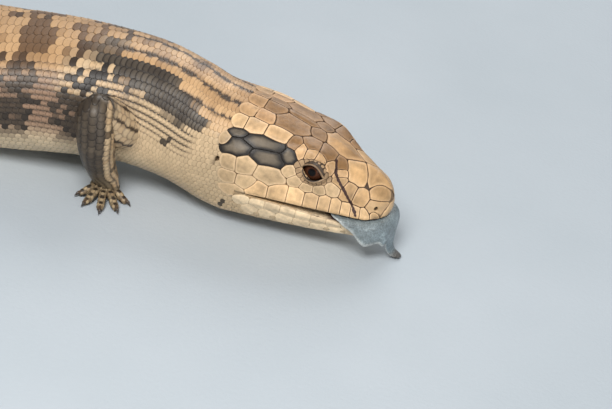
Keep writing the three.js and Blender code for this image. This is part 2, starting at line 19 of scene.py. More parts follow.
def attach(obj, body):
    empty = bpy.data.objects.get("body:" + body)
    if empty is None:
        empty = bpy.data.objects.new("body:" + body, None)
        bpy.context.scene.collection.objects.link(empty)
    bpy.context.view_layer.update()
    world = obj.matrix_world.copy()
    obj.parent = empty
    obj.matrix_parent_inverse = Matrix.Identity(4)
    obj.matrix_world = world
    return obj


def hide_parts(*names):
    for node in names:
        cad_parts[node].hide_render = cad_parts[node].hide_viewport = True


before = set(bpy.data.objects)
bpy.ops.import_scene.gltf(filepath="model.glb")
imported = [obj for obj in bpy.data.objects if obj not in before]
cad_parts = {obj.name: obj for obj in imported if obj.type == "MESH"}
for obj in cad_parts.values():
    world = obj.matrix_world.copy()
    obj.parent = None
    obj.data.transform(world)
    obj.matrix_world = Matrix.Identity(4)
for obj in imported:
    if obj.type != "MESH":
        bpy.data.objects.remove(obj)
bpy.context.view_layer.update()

rng = np.random.default_rng(7)
MM = 0.001  # metres in a millimetre
print("solids:", sorted(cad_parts))

# %% [markdown]
# ## Curves and small tools
# An animal has no straight edges: each width and height swells and shrinks along it. Every size here
# is a smooth curve through a few keys. A spline would do, but it swings past its keys, while this
# curve never does, so a waist stays a waist. It works on whole arrays at once.

# %% Curves
def monotone(x, xs, ys):
    """The smooth curve through (xs, ys) at x. ys may hold a row of values for each x."""
    xs, ys, x = (np.asarray(v, float) for v in (xs, ys, x))
    step = np.diff(xs)
    rise = np.diff(ys, axis=-1) / step
    a = 2 * step[1:] + step[:-1]
    b = step[1:] + 2 * step[:-1]
    same = rise[..., :-1] * rise[..., 1:] > 0
    safe = np.where(rise == 0, 1.0, rise)
    inner = np.where(same, (a + b) / (a / safe[..., :-1] + b / safe[..., 1:]), 0.0)
    slope = np.concatenate([rise[..., :1], inner, rise[..., -1:]], axis=-1)
    i = np.clip(np.searchsorted(xs, x, side="right") - 1, 0, len(xs) - 2)
    t = np.clip((x - xs[i]) / step[i], 0, 1)
    u = 1 - t

    def pick(values, j):
        """The values at keys j, for one curve or for many."""
        return values[j] if values.ndim == 1 else np.take_along_axis(values, j[..., None], -1)[..., 0]

    bend = (pick(slope, i) * t * u * u - pick(slope, i + 1) * u * t * t) * step[i]
    return pick(ys, i) * (1 + 2 * t) * u * u + pick(ys, i + 1) * (3 - 2 * t) * t * t + bend


def rail(*keys):
    """The smooth curve through (x, y) keys, as a function of x."""
    xs, ys = np.array(keys, float).T
    return lambda x: monotone(x, xs, ys)


def ease(start, end, x):
    """A soft step from 0 at start to 1 at end. With end before start it falls."""
    t = np.clip((np.asarray(x, float) - start) / (end - start), 0, 1)
    return t * t * (3 - 2 * t)


def unit(v):
    """The same directions with a length of 1."""
    return v / np.maximum(np.linalg.norm(v, axis=-1, keepdims=True), 1e-12)


def mix(a, b, t):
    """Colour a where t is 0 and colour b where it is 1."""
    t = np.asarray(t, float)[..., None]
    return np.asarray(a, float) * (1 - t) + np.asarray(b, float) * t


def ripple(points, size, seed=0):
    """Smooth noise from -1 to 1 with bumps about `size` across."""
    turn = np.random.default_rng(seed)
    total = np.zeros(points.shape[:-1])
    for _ in range(7):
        wave = unit(turn.normal(size=3)) * (2 * np.pi / (size * turn.uniform(0.8, 2.6)))
        total += np.sin(points @ wave + turn.uniform(0, 6.3))
    return total / 3.2


def spokes(count):
    """Angles of equal steps round a circle."""
    return 2 * np.pi * np.arange(count) / count


print("halfway up a soft step:", float(ease(0, 1, 0.5)))

# %% [markdown]
# ## The body's own coordinates
# A place on the animal is a distance from the snout and an angle round the spine, from the top
# towards the right side. Scales, shields and markings are all laid out in these two numbers, which
# is easier than modelling in straight axes, because a skink's rows follow its curved body.

# %% Body form
EYE_AT, MOUTH_CORNER_AT, TIP_AT = 19.6, 37.5, 365  # distances from the snout
MOUTH_HEIGHT, HEAD_YAW, HEAD_RISE, SNOUT_TIP = 11.8, math.radians(-15), 0.012, (144.4, -18.6)
SNOUT_ROUND, NOSE_HEIGHT, JAW_DROP = 5.2, 2.8, math.radians(3.6)
EYE_RADIUS, EYE_OUT, EYE_UP = 3.2, 8.0, 9.4

spine_keys = [
    # distance from the snout, then forward, left and up
    (at, SNOUT_TIP[0] - math.cos(HEAD_YAW) * at, SNOUT_TIP[1] - math.sin(HEAD_YAW) * at,
     MOUTH_HEIGHT + HEAD_RISE * at)
    for at in (0, 14, 28, 40)
] + [
    (50, 95.6, -6.2, 13.3), (60, 86.2, -3.9, 15.2), (72, 74.6, -1.6, 17.2), (90, 56.8, 0.6, 17.8),
    (108, 38.8, 1.8, 16.9), (150, -2.6, 2.4, 14.3), (188, -40.4, 0.2, 13.3), (210, -62.2, -1.8, 12.0),
    (228, -80.0, -2.6, 10.1), (262, -113.8, 0.6, 7.8), (298, -148.4, 10.2, 5.5), (332, -178.8, 25.2, 3.4),
    (365, -206.4, 43.2, 1.2),
]
spine_rails = [rail(*[(key[0], key[axis]) for key in spine_keys]) for axis in (1, 2, 3)]

body_width = rail(
    (40, 16.2), (52, 15.6), (60, 16.2), (72, 18.2), (108, 22.0), (150, 23.4), (188, 21.4), (210, 16.6),
    (228, 12.2), (262, 9.4), (298, 6.9), (332, 4.5), (358, 2.2), (365, 0.5))
body_rise = rail(
    (40, 19.2), (52, 19.3), (60, 19.6), (72, 19.0), (90, 17.3), (108, 15.9), (150, 14.6), (188, 13.8),
    (210, 12.2), (228, 10.2), (262, 8.0), (298, 5.9), (332, 3.9), (358, 2.0), (365, 0.5))
body_depth = rail(
    (40, 10.0), (52, 10.8), (60, 11.4), (72, 12.6), (108, 16.8), (150, 14.7), (188, 13.7), (210, 12.3),
    (228, 10.3), (262, 7.95), (298, 5.7), (332, 3.6), (358, 1.7), (365, 0.5))
squareness = rail((45, 2.2), (100, 2.35), (200, 2.3), (228, 2.1), (365, 2.0))
crown_height = rail((0, 8.8), (6, 10.6), (13, 13.2), (20, 15.7), (28, 18.0), (37, 19.4), (48, 20.0))
brow_width = rail((0, 3.6), (6, 5.0), (14, 7.4), (20, 8.8), (28, 9.6), (38, 11.4), (48, 12.4))
brow_drop = rail((0, 2.2), (12, 2.3), (20, 1.7), (30, 2.8), (48, 4.2))
cheek_width = rail((0, 5.4), (6, 7.3), (12, 9.0), (20, 11.0), (28, 13.6), (37, 16.4), (44, 17.0), (50, 16.4))
lip_width = rail((0, 6.0), (6, 8.2), (12, 9.9), (20, 12.0), (28, 13.9), (37, 15.8), (46, 16.2))
jaw_depth = rail((0, 3.9), (6, 5.0), (14, 6.6), (24, 8.2), (36, 9.8), (48, 11.2))
outline_angles = np.radians([0, 44, 80, 104, 142, 180])  # crown, brow, cheek, lip, jaw, chin
HEAD_ENDS, TRUNK_STARTS = 39, 57
print("widest at the belly:", float(body_width(150)) * 2, "mm; at the cheeks:", float(cheek_width(44)) * 2)

# %% [markdown]
# ## From coordinates to points
# A slice of trunk is a rounded box, and a slice of head runs through crown, brow, cheek, lip and jaw.
# Between them one outline changes smoothly into the other. Sculpting would give softer forms, but
# these formulas can be asked for any point, so that scales find their place on the same surface.

# %% Slices of the body


def spine_frame(at):
    """Origin, forward, left and up at stations of the spine."""
    def place(x):
        """Points of the spine."""
        return np.stack([r(x) for r in spine_rails], -1)

    at = np.asarray(at, float)
    forward = unit(place(np.maximum(0, at - 4)) - place(np.minimum(TIP_AT, at + 4)))
    left = unit(np.cross(np.array([0, 0, 1.0]), forward))
    return place(at), forward, left, np.cross(forward, left)


def head_outline(at, side):
    """Half width and height of a slice of the head at an angle from 0 on top to pi at the chin."""
    crown, jaw, lip = crown_height(at), jaw_depth(at), lip_width(at)
    none = np.zeros_like(crown)
    widths = [-brow_width(at), none, brow_width(at), cheek_width(at), lip, lip * 0.8, none, -lip * 0.8]
    heights = [crown, crown - brow_drop(at), crown * 0.44, none, -jaw * 0.83, -jaw]
    wide = np.concatenate([[-outline_angles[1]], outline_angles, [2 * np.pi - outline_angles[4]]])
    out = monotone(side, wide, np.stack(widths, -1))
    return out, monotone(side, outline_angles, np.stack(heights, -1))


def swell(at, side, place, degrees, length, spread):
    """A soft mound with its top at a distance and angle."""
    round_way = (side - math.radians(degrees)) / math.radians(spread)
    return np.exp(-(((at - place) / length) ** 2) - round_way**2)


def lip_roll(side):
    """The fullness of the two lips, with the mouth's groove between them."""
    def roll(degrees, spread):
        """A rounded ridge at an angle."""
        return np.exp(-(((side - math.radians(degrees)) / math.radians(spread)) ** 2))

    return 0.55 * roll(100, 3.6) - 0.35 * roll(90, 4.5) + 0.5 * roll(110, 4.5)


def outline(at, angle, grow):
    """Left and up offsets of the skin, `grow` outside the solids."""
    side = np.where(angle > np.pi, 2 * np.pi - angle, angle)
    power = 2 / squareness(at)
    height = np.where(side < np.pi / 2, body_rise(at), body_depth(at)) + grow
    body_out = (body_width(at) + grow) * np.abs(np.sin(side)) ** power
    body_up = height * np.sign(np.cos(side)) * np.abs(np.cos(side)) ** power
    out, up = head_outline(at, side)
    bulge = (grow + 0.9 * swell(at, side, EYE_AT - 0.5, 46, 5.5, 20) + 0.8 * swell(at, side, 36, 84, 6, 26)
             - 0.5 * swell(at, side, 12, 62, 5, 16)
             + ease(MOUTH_CORNER_AT + 3, MOUTH_CORNER_AT - 8, at) * lip_roll(side))
    centre = crown_height(at) * 0.35
    reach = np.hypot(out, up - centre)
    tip = 1 - np.minimum(at, SNOUT_ROUND) / SNOUT_ROUND
    rounding = np.sqrt(np.maximum(0, 1 - tip * tip))
    out = out * (1 + bulge / reach) * rounding
    up = centre + (up - centre) * (1 + bulge / reach)
    up = NOSE_HEIGHT + (up - NOSE_HEIGHT) * rounding
    blend = ease(HEAD_ENDS, TRUNK_STARTS, at)
    out, up = out + (body_out - out) * blend, up + (body_up - up) * blend
    return np.where(angle > np.pi, out, -out), up


def on_body(at, angle, grow=0.0):
    """Points of the animal's surface, `grow` outside the solids."""
    at, angle = np.broadcast_arrays(np.asarray(at, float), np.asarray(angle, float) % (2 * np.pi))
    left, up = outline(at, angle, grow)
    origin, _, left_way, up_way = spine_frame(at)
    return origin + left_way * left[..., None] + up_way * up[..., None]


print("nose to tail", TIP_AT, "mm; a point on the crown:", on_body(20, 0).round(1))

# %% [markdown]
# ## Legs
# A skink's legs are short and round, with five stubby clawed toes. A limb is a path with a half width
# and half height at each key, and its coordinates are the distance along the path and an angle round
# it, so it shares the body's way of laying scales. Metaballs would join more softly, but they have
# no coordinates to lay scales by.

# %% Limbs
class Limb:
    """A smooth rounded limb. keys are [point, half width, half height]."""

    def __init__(self, keys, upward):
        points = np.array([key[0] for key in keys], float)
        run = np.concatenate([[0], np.cumsum(np.linalg.norm(np.diff(points, axis=0), axis=1))])
        self.rails = [rail(*zip(run, points[:, axis])) for axis in range(3)]
        self.width = rail(*zip(run, [key[1] for key in keys]))
        self.height = rail(*zip(run, [key[2] for key in keys]))
        self.length = run[-1]
        self.upward = unit(np.array(upward, float))

    def centre(self, t):
        """Points of the path."""
        return np.stack([r(t) for r in self.rails], -1)

    def point(self, t, angle, grow=0.0):
        """Points of the surface, `grow` outside it."""
        t, angle = np.broadcast_arrays(np.asarray(t, float), np.asarray(angle, float))
        along = unit(self.centre(np.minimum(self.length, t + 1)) - self.centre(np.maximum(0, t - 1)))
        across = unit(np.cross(along, self.upward))
        over = np.cross(across, along)
        wide = ((self.width(t) + grow) * np.cos(angle))[..., None]
        tall = ((self.height(t) + grow) * np.sin(angle))[..., None]
        return self.centre(t) + across * wide + over * tall


straight = Limb([((0, 0, 0), 1, 1), ((5, 0, 0), 1, 1)], (0, 0, 1))
print("a straight limb of", float(straight.length), "mm")

# %% [markdown]
# ## Where each leg goes
# The front legs bend forward at the elbow and the hind legs backward at the knee, feet flat on the
# ground. Toes fan out from a palm, the middle ones longest, each with a short curved claw. A table of
# keys for each leg says all of this, and mirroring wouldn't do, because no two feet stand alike.

# %% Legs, toes and claws
FRONT_TOES = dict(fan=(-52, -25, 0, 24, 52), lengths=(5.0, 7.2, 8.4, 7.6, 5.4), heel=2.5)
HIND_TOES = dict(fan=(-54, -27, -5, 16, 46), lengths=(3.8, 5.8, 7.4, 8.6, 5.4), heel=2.6)
TOE_RADIUS, CLAW_LENGTH, PAD_RADIUS, PAD_THICK = 1.0, 1.5, 4.1, 1.9
leg_plans = {
    "foreleg_right": dict(
        keys=[((79, -9, 14), 5.2, 5.0), ((73.5, -17.5, 19), 5.6, 5.4), ((66.8, -22.8, 25.0), 5.0, 5.0),
              ((67.8, -24.4, 18.6), 4.8, 4.9), ((69.0, -22.4, 12.0), 4.3, 4.3),
              ((70.2, -19.4, 6.8), 4.5, 3.4), ((71.2, -17.8, 2.9), 4.3, 2.4)],
        upward=(-0.5, -0.8, 0.5), toes=FRONT_TOES, turn=1, aim=-86),
    "foreleg_left": dict(
        keys=[((79, 6, 14), 5.2, 5.0), ((73, 15, 18), 5.6, 5.4), ((65.0, 22.0, 20.5), 5.0, 5.1),
              ((63.4, 24.6, 14.6), 4.8, 4.9), ((62.4, 25.6, 9.4), 4.2, 4.2), ((62.8, 26.2, 5.6), 3.9, 3.2),
              ((64.2, 27.6, 2.5), 3.8, 2.3)],
        upward=(-0.5, 0.8, 0.5), toes=FRONT_TOES, turn=-1, aim=62),
    "hindleg_right": dict(
        keys=[((-66, -6, 11), 6.0, 5.6), ((-60, -16, 13), 6.4, 6.0), ((-51, -26, 14.6), 5.6, 5.4),
              ((-55.5, -31, 10.8), 5.0, 4.9), ((-60.0, -34.6, 7.2), 4.3, 4.1),
              ((-62.6, -37.0, 4.6), 3.9, 3.2), ((-64.0, -39.6, 2.6), 4.0, 2.3)],
        upward=(-0.5, -0.4, 0.8), toes=HIND_TOES, turn=1, aim=-40),
    "hindleg_left": dict(
        keys=[((-66, 4, 11), 6.0, 5.6), ((-62, 14, 13), 6.4, 6.0), ((-56, 24, 14.0), 5.6, 5.4),
              ((-62, 28, 10.6), 5.0, 4.9), ((-67.4, 31.0, 7.2), 4.3, 4.1), ((-70.6, 33.2, 4.6), 3.9, 3.2),
              ((-72.2, 35.8, 2.6), 4.0, 2.3)],
        upward=(-0.5, 0.4, 0.8), toes=HIND_TOES, turn=-1, aim=46),
}
legs, toes, claws = {}, {}, {}
for name, plan in leg_plans.items():
    legs[name] = Limb(plan["keys"], plan["upward"])
    palm = np.array(plan["keys"][-1][0])
    heel = plan["toes"]["heel"]
    for i, (turn, length) in enumerate(zip(plan["toes"]["fan"], plan["toes"]["lengths"])):
        way = math.radians(plan["aim"] + plan["turn"] * turn)
        tip = heel + length

        def along(reach, up):
            """A point above the toe's own line on the ground."""
            return (palm[0] + math.cos(way) * reach, palm[1] + math.sin(way) * reach, up)

        toes[name, i] = Limb([
            (along(0.4, 1.6), 1.0, 0.9),
            (along(heel + length * 0.35, 1.9), TOE_RADIUS, TOE_RADIUS),
            (along(heel + length * 0.8, 1.0), TOE_RADIUS, TOE_RADIUS * 0.95),
            (along(tip, 0.85), 0.6, 0.65)], (0, 0, 1))
        claws[name, i] = Limb([
            (along(tip - 1, 1.25), 0.5, 0.6),
            (along(tip + CLAW_LENGTH * 0.35, 1.15), 0.4, 0.5),
            (along(tip + CLAW_LENGTH, 0.35), 0.06, 0.08)], (0, 0, 1))
print("legs", len(legs), "toes", len(toes))

# %% [markdown]
# ## Meshes and Booleans
# Skin, tongue, toes and claws are all tubes of changing section, so one loft makes them: rings of
# points closed by a fan at each end. Closed lofts are joined and cut with the manifold solver, which
# is quick and always leaves a closed mesh. A remesh would round off the lips and lids.

# %% Mesh tools
def make_object(name, points, faces, smooth=True):
    """A mesh object from points in millimetres and an array or list of faces."""
    data = bpy.data.meshes.new(name)
    points = np.asarray(points, float) * MM
    if isinstance(faces, np.ndarray):
        count, corners = faces.shape
        data.vertices.add(len(points))
        data.vertices.foreach_set("co", points.astype(np.float32).ravel())
        data.loops.add(count * corners)
        data.loops.foreach_set("vertex_index", faces.astype(np.int32).ravel())
        data.polygons.add(count)
        data.polygons.foreach_set("loop_start", np.arange(0, count * corners, corners, dtype=np.int32))
        data.update(calc_edges=True)
    else:
        data.from_pydata(points.tolist(), [], faces)
    data.validate()
    data.polygons.foreach_set("use_smooth", np.full(len(data.polygons), smooth))
    made = bpy.data.objects.new(name, data)
    bpy.context.scene.collection.objects.link(made)
    return made


def loft(name, rings):
    """A closed mesh over rings of points (rings, sides, 3)."""
    count, sides = rings.shape[:2]
    points = np.concatenate([rings.reshape(-1, 3), rings[0].mean(0)[None], rings[-1].mean(0)[None]])
    first, last = count * sides, count * sides + 1
    faces = []
    for i in range(sides):
        j = (i + 1) % sides
        faces.append((first, j, i))
        faces.append((last, (count - 1) * sides + i, (count - 1) * sides + j))
        faces += [(r * sides + i, r * sides + j, (r + 1) * sides + j, (r + 1) * sides + i)
                  for r in range(count - 1)]
    made = make_object(name, points, faces)
    face_outward(made)
    return made


def face_outward(made):
    """Joins points that lie on each other and turns all faces outward."""
    cleaner = bmesh.new()
    cleaner.from_mesh(made.data)
    bmesh.ops.remove_doubles(cleaner, verts=cleaner.verts, dist=1e-7)
    bmesh.ops.recalc_face_normals(cleaner, faces=cleaner.faces)
    cleaner.to_mesh(made.data)
    cleaner.free()


def limb_grid(limb, steps, sides, grow=0.0):
    """Rings of points from one end of a limb to the other."""
    return limb.point(np.linspace(0, limb.length, steps)[:, None], spokes(sides)[None], grow)


def combine(base, others, operation):
    """Joins others to base or cuts them from it, then removes them."""
    for other in others:
        change = base.modifiers.new("combine", "BOOLEAN")
        change.operation = operation
        change.solver = "MANIFOLD"
        change.object = other
        bpy.context.view_layer.update()
        changed = base.evaluated_get(bpy.context.evaluated_depsgraph_get())
        result = bpy.data.meshes.new_from_object(changed)
        base.modifiers.clear()
        base.data = result
        bpy.data.objects.remove(other)
    return base


def read_points(made):
    """An object's points in millimetres."""
    co = np.zeros(len(made.data.vertices) * 3, np.float32)
    made.data.vertices.foreach_get("co", co)
    return co.reshape(-1, 3).astype(float) / MM


def place_points(made, points):
    """Moves an object's points to places in millimetres."""
    made.data.vertices.foreach_set("co", (points * MM).astype(np.float32).ravel())
    made.data.update()


def triangles_of(made):
    """The point numbers of an object's triangles."""
    made.data.calc_loop_triangles()
    found = np.zeros(len(made.data.loop_triangles) * 3, np.int32)
    made.data.loop_triangles.foreach_get("vertices", found)
    return found.reshape(-1, 3)


def tree_of(points, faces):
    """A search tree that finds the nearest place on a surface."""
    return BVHTree.FromPolygons((points * MM).tolist(), faces)


def unit_ball(across, down):
    """Points and faces of a ball of radius 1."""
    maker = bmesh.new()
    bmesh.ops.create_uvsphere(maker, u_segments=across, v_segments=down, radius=1)
    points = np.array([v.co for v in maker.verts])
    faces = [[v.index for v in f.verts] for f in maker.faces]
    maker.free()
    return points, faces


print("a small ball has", len(unit_ball(24, 16)[1]), "faces")

# %% [markdown]
# ## The skin and the open mouth
# The skin lies a little inside the solids, and the scales on it bring it back to size. A living
# mouth opens about its corner, so the lower jaw is made apart, turned down there and joined again
# under a skin that has lost a wedge. Cutting the mouth from a closed head would leave no lower lip.

# %% Skin of head, trunk and tail
SKIN_DEPTH = -0.3
LIMB_DEPTH, TOE_DEPTH, PAD_INSET = SKIN_DEPTH * 0.8, -0.12, 0.2
NOSTRIL = (2.6, 86, (0.9, 1.6, 0.75))  # distance from the snout, degrees round, radii of the pit
EAR = (44.5, 82, (0.5, 1.8, 1.5))
station_steps = np.concatenate([
    SNOUT_ROUND * (1 - np.cos(np.linspace(0.02, np.pi / 2, 14))),
    np.arange(SNOUT_ROUND + 0.5, 52, 0.55),
    np.arange(52.5, 300, 1.0), np.arange(300.7, TIP_AT, 0.8), [TIP_AT],
])
half = np.unique(np.concatenate([np.linspace(0, 180, 41), np.linspace(86, 118, 15)]))
angle_steps = np.radians(np.concatenate([half, 360 - half[-2:0:-1]]))


def body_loft(name):
    """The whole trunk, head and tail in one closed mesh."""
    return loft(name, on_body(station_steps[:, None], angle_steps[None], SKIN_DEPTH))


head_origin = spine_frame(0.0)[0]
_, head_forward, head_left, head_up = spine_frame(10.0)
hinge, _, hinge_axis, _ = spine_frame(float(MOUTH_CORNER_AT))
jaw_turn = np.array(Matrix.Rotation(JAW_DROP, 3, Vector(hinge_axis)))


def in_head(back, left, up):
    """A point from its distance behind the snout, and left of and above the mouth line."""
    return head_origin - head_forward * back + head_left * left + head_up * up


def wedge(name, corners, wide=30):
    """A flat-sided block across the head, from its corners as (back, up) pairs."""
    points = np.array([in_head(back, side * wide, up) for side in (-1, 1) for back, up in corners])
    n = len(corners)
    faces = [tuple(range(n)), tuple(range(2 * n - 1, n - 1, -1))]
    faces += [(i, i + n, (i + 1) % n + n, (i + 1) % n) for i in range(n)]
    made = make_object(name, points, faces, smooth=False)
    face_outward(made)
    return made


def drop_jaw(points):
    """Points of the closed lower jaw, turned to where the open jaw has them."""
    return (points - hinge) @ jaw_turn.T + hinge


skin = body_loft("skin")
jaw = body_loft("jaw")
gape = wedge("gape", [(-8, 0), (MOUTH_CORNER_AT, 0), (MOUTH_CORNER_AT + 1.5, -25), (-8, -25)])
keep = wedge("keep", [(-8, -0.1), (MOUTH_CORNER_AT - 6, -0.1), (MOUTH_CORNER_AT + 1, 0.2),
                      (MOUTH_CORNER_AT + 6, -6), (MOUTH_CORNER_AT + 8, -25), (-8, -25)])
combine(jaw, [keep], "INTERSECT")
place_points(jaw, drop_jaw(read_points(jaw)))
combine(skin, [gape], "DIFFERENCE")
combine(skin, [jaw], "UNION")
print("skin with its mouth open:", len(skin.data.vertices), "points")

# %% [markdown]
# ## Eyes, nostrils and ears
# A skink has real eyelids with an almond opening, round nostrils at the tip of the snout and an open
# ear behind the mouth. The lids are an egg joined to the head, with a round socket and an almond cut
# out of it. Nostril and ear are pits. The tree `whole_tree` is taken before the pits are cut, so that
# shields which cross them stay level.

# %% Lids and pits
def egg(name, at, centre, radii, detail=(24, 16)):
    """An egg with its radii along forward, left and up of a station."""
    _, forward, left, upward = spine_frame(float(at))
    points, faces = unit_ball(*detail)
    made = make_object(name, centre + points * radii @ np.array([forward, left, upward]), faces)
    face_outward(made)
    return made


def eye_frame(side):
    """Centre of an eye, and its outward, forward and upward directions."""
    origin, forward, left, up = spine_frame(EYE_AT)
    outward = unit(left * side + up * 0.12)
    along = unit(forward - up * 0.16)
    over = unit(np.cross(along, outward)) * side
    along = np.cross(outward, over) * side
    return origin + left * side * EYE_OUT + up * EYE_UP, outward, along, over


def almond(count, scale=1.0):
    """The outline of the opening between the lids, as (forward, up) pairs."""
    t = np.linspace(0, 1, count // 2, endpoint=False)
    arch = 2 * t * (1 - t)
    x = np.concatenate([-3.1 + 6.4 * t, 3.3 - 6.4 * t])
    y = np.concatenate([0.1 - 0.4 * t + arch * 4.3, -0.3 + 0.4 * t - arch * 4.1])
    return np.stack([x, y], 1) * scale


def lid_opening(side):
    """A bar with the almond's section, from the middle of the eye outward."""
    centre, outward, along, over = eye_frame(side)
    ring = almond(40)
    flat = centre + ring[:, :1] * along + ring[:, 1:] * over
    return loft("opening", np.stack([flat + outward * depth for depth in (0.0, 9.0)]))


LID_RADII, SOCKET_GAP = (4.2, 3.95, 3.9), 0.06
for side in (-1, 1):
    centre = eye_frame(side)[0]
    combine(skin, [egg("lids", EYE_AT, centre, LID_RADII)], "UNION")
    socket = egg("socket", EYE_AT, centre, (EYE_RADIUS + SOCKET_GAP,) * 3, (32, 20))
    combine(skin, [socket, lid_opening(side)], "DIFFERENCE")
whole_tree = tree_of(read_points(skin), triangles_of(skin).tolist())
for side in (-1, 1):
    pits = [egg("pit", at, on_body(at, math.radians(degrees) * side), radii, (16, 12))
            for at, degrees, radii in (NOSTRIL, EAR)]
    combine(skin, pits, "DIFFERENCE")
print("skin with eyes, nostrils and ears:", len(skin.data.vertices), "points")

# %% [markdown]
# ## Legs and feet on the skin
# Skin runs on without a break from trunk to toe. Each leg, toe and round pad is a closed loft whose
# root lies deep in its neighbour, and one union makes them a single skin.

# %% Join the limbs
limb_pieces = []
for name, leg in legs.items():
    limb_pieces.append(loft(name, limb_grid(leg, 60, 28, LIMB_DEPTH)))
    palm = np.array(leg_plans[name]["keys"][-1][0])
    pad_points, pad_faces = unit_ball(24, 14)
    radii = (PAD_RADIUS - PAD_INSET, PAD_RADIUS - PAD_INSET, PAD_THICK - PAD_INSET)
    pad_points = pad_points * radii + (palm[0], palm[1], PAD_THICK - 0.15)
    limb_pieces.append(make_object("pad", pad_points, pad_faces))
limb_pieces += [loft("toe", limb_grid(toe, 16, 12, TOE_DEPTH)) for toe in toes.values()]
combine(skin, limb_pieces, "UNION")
face_outward(skin)
print("skin", len(skin.data.vertices), "points")

# %% [markdown]
# ## Softening the roots of the legs
# Skin stretches in folds from trunk to leg, where the union leaves a crease. Points close to both
# surfaces are moved towards the mean of their neighbours, a few times over, so that skin flows from
# one to the other. A smooth modifier would soften the lips and toes as well.

# %% Blend the leg roots
def grid_faces(rows, columns):
    """Quads of a grid of points whose last column joins its first."""
    r, c = np.meshgrid(np.arange(rows - 1), np.arange(columns), indexing="ij")
    near, far, d = r * columns, (r + 1) * columns, (c + 1) % columns
    return np.stack([near + c, near + d, far + d, far + c], -1).reshape(-1, 4)


def distance_to(points, tree):
    """How far each point is from a surface, in millimetres."""
    return np.array([tree.find_nearest(p)[3] for p in (points * MM).tolist()]) / MM


points = read_points(skin)
every_5_degrees = np.radians(np.arange(0, 360, 5))
trunk_grid = on_body(np.arange(40, 260, 2.0)[:, None], every_5_degrees[None], SKIN_DEPTH)
trunk_tree = tree_of(trunk_grid.reshape(-1, 3), grid_faces(*trunk_grid.shape[:2]).tolist())
weight = np.zeros(len(points))
for leg in legs.values():
    around = np.linspace(0, 2 * np.pi, 24, endpoint=False)
    grid = leg.point(np.linspace(0, leg.length, 40)[:, None], around[None])
    low, high = grid.min((0, 1)) - 4, grid.max((0, 1)) + 4
    near = np.nonzero(((points > low) & (points < high)).all(1))[0]
    leg_tree = tree_of(grid.reshape(-1, 3), grid_faces(*grid.shape[:2]).tolist())
    gap = np.maximum(distance_to(points[near], leg_tree), distance_to(points[near], trunk_tree))
    weight[near] = np.maximum(weight[near], ease(3.2, 0.6, gap))
edges = np.zeros(len(skin.data.edges) * 2, np.int32)
skin.data.edges.foreach_get("vertices", edges)
edges = edges.reshape(-1, 2)
links = np.bincount(edges.ravel(), minlength=len(points)).clip(1)[:, None]
for _ in range(14):
    total = np.zeros_like(points)
    np.add.at(total, edges[:, 0], points[edges[:, 1]])
    np.add.at(total, edges[:, 1], points[edges[:, 0]])
    points += (total / links - points) * weight[:, None] * 0.8
points[:, 2] = np.maximum(points[:, 2], 0.05)
place_points(skin, points)
triangles = triangles_of(skin)
skin_tree = tree_of(points, triangles.tolist())
print("softened", int((weight > 0.1).sum()), "points; triangles", len(triangles))


def on_skin(point, tree=skin_tree):
    """The nearest place on the skin and its outward direction, in millimetres."""
    place, normal, _, _ = tree.find_nearest(Vector(point) * MM)
    return np.array(place) / MM, np.array(normal)


# %% [markdown]
# ## Markings
# The animal has a tan back with dark lines on the nape, a dark patch on each side of the neck, pale
# checks on the shoulder, brown bars across trunk and tail, and a cream belly. An image could carry
# this, but each scale has one main colour in life. So a colour here is a formula of the place on the
# body, and both skin and scales ask for it.

# %% Colours and places of the markings
PALE_TAN, TAN, BROWN = (0.57, 0.36, 0.185), (0.38, 0.222, 0.105), (0.13, 0.07, 0.034)
CREAM, BELLY, PINK_GREY = (0.56, 0.41, 0.25), (0.6, 0.47, 0.31), (0.28, 0.175, 0.112)
BLACK, CHARCOAL, SLATE = (0.016, 0.011, 0.008), (0.047, 0.034, 0.023), (0.12, 0.09, 0.06)
UMBER, THROAT = (0.09, 0.07, 0.05), (0.5, 0.37, 0.225)
THROAT_SPOTS = [(57.4, 82), (58.6, 86), (39.5, 123), (41.0, 127)]
patch_top = rail((49, 52), (55, 44), (61, 38), (68, 30), (78, 31), (83, 36))
patch_bottom = rail((49, 58), (53.5, 67), (58.7, 66), (67, 60.5), (73.5, 52), (79, 43), (83, 38))
twist = rail((40, 0), (46, 1), (57, 5), (70, 9), (90, 9), (130, 0), (200, 0))


def side_degrees(at, angle):
    """Degrees from the line of the back to either side, with the small twist of the neck's pattern."""
    turned = (np.degrees(angle) + twist(at) + 180) % 360 - 180
    return np.abs(turned)


print("the neck's dark patch runs from", float(patch_top(60)), "to", float(patch_bottom(60)), "degrees")

# %% [markdown]
# ## The pattern of the body
# Each marking is a colour and a strength from 0 to 1, made of soft steps along and round the body,
# with a little noise so that no edge is ruled. They are laid over each other in order, as a painter
# would glaze them: ground colours first, then bars, checks, patch and spots.

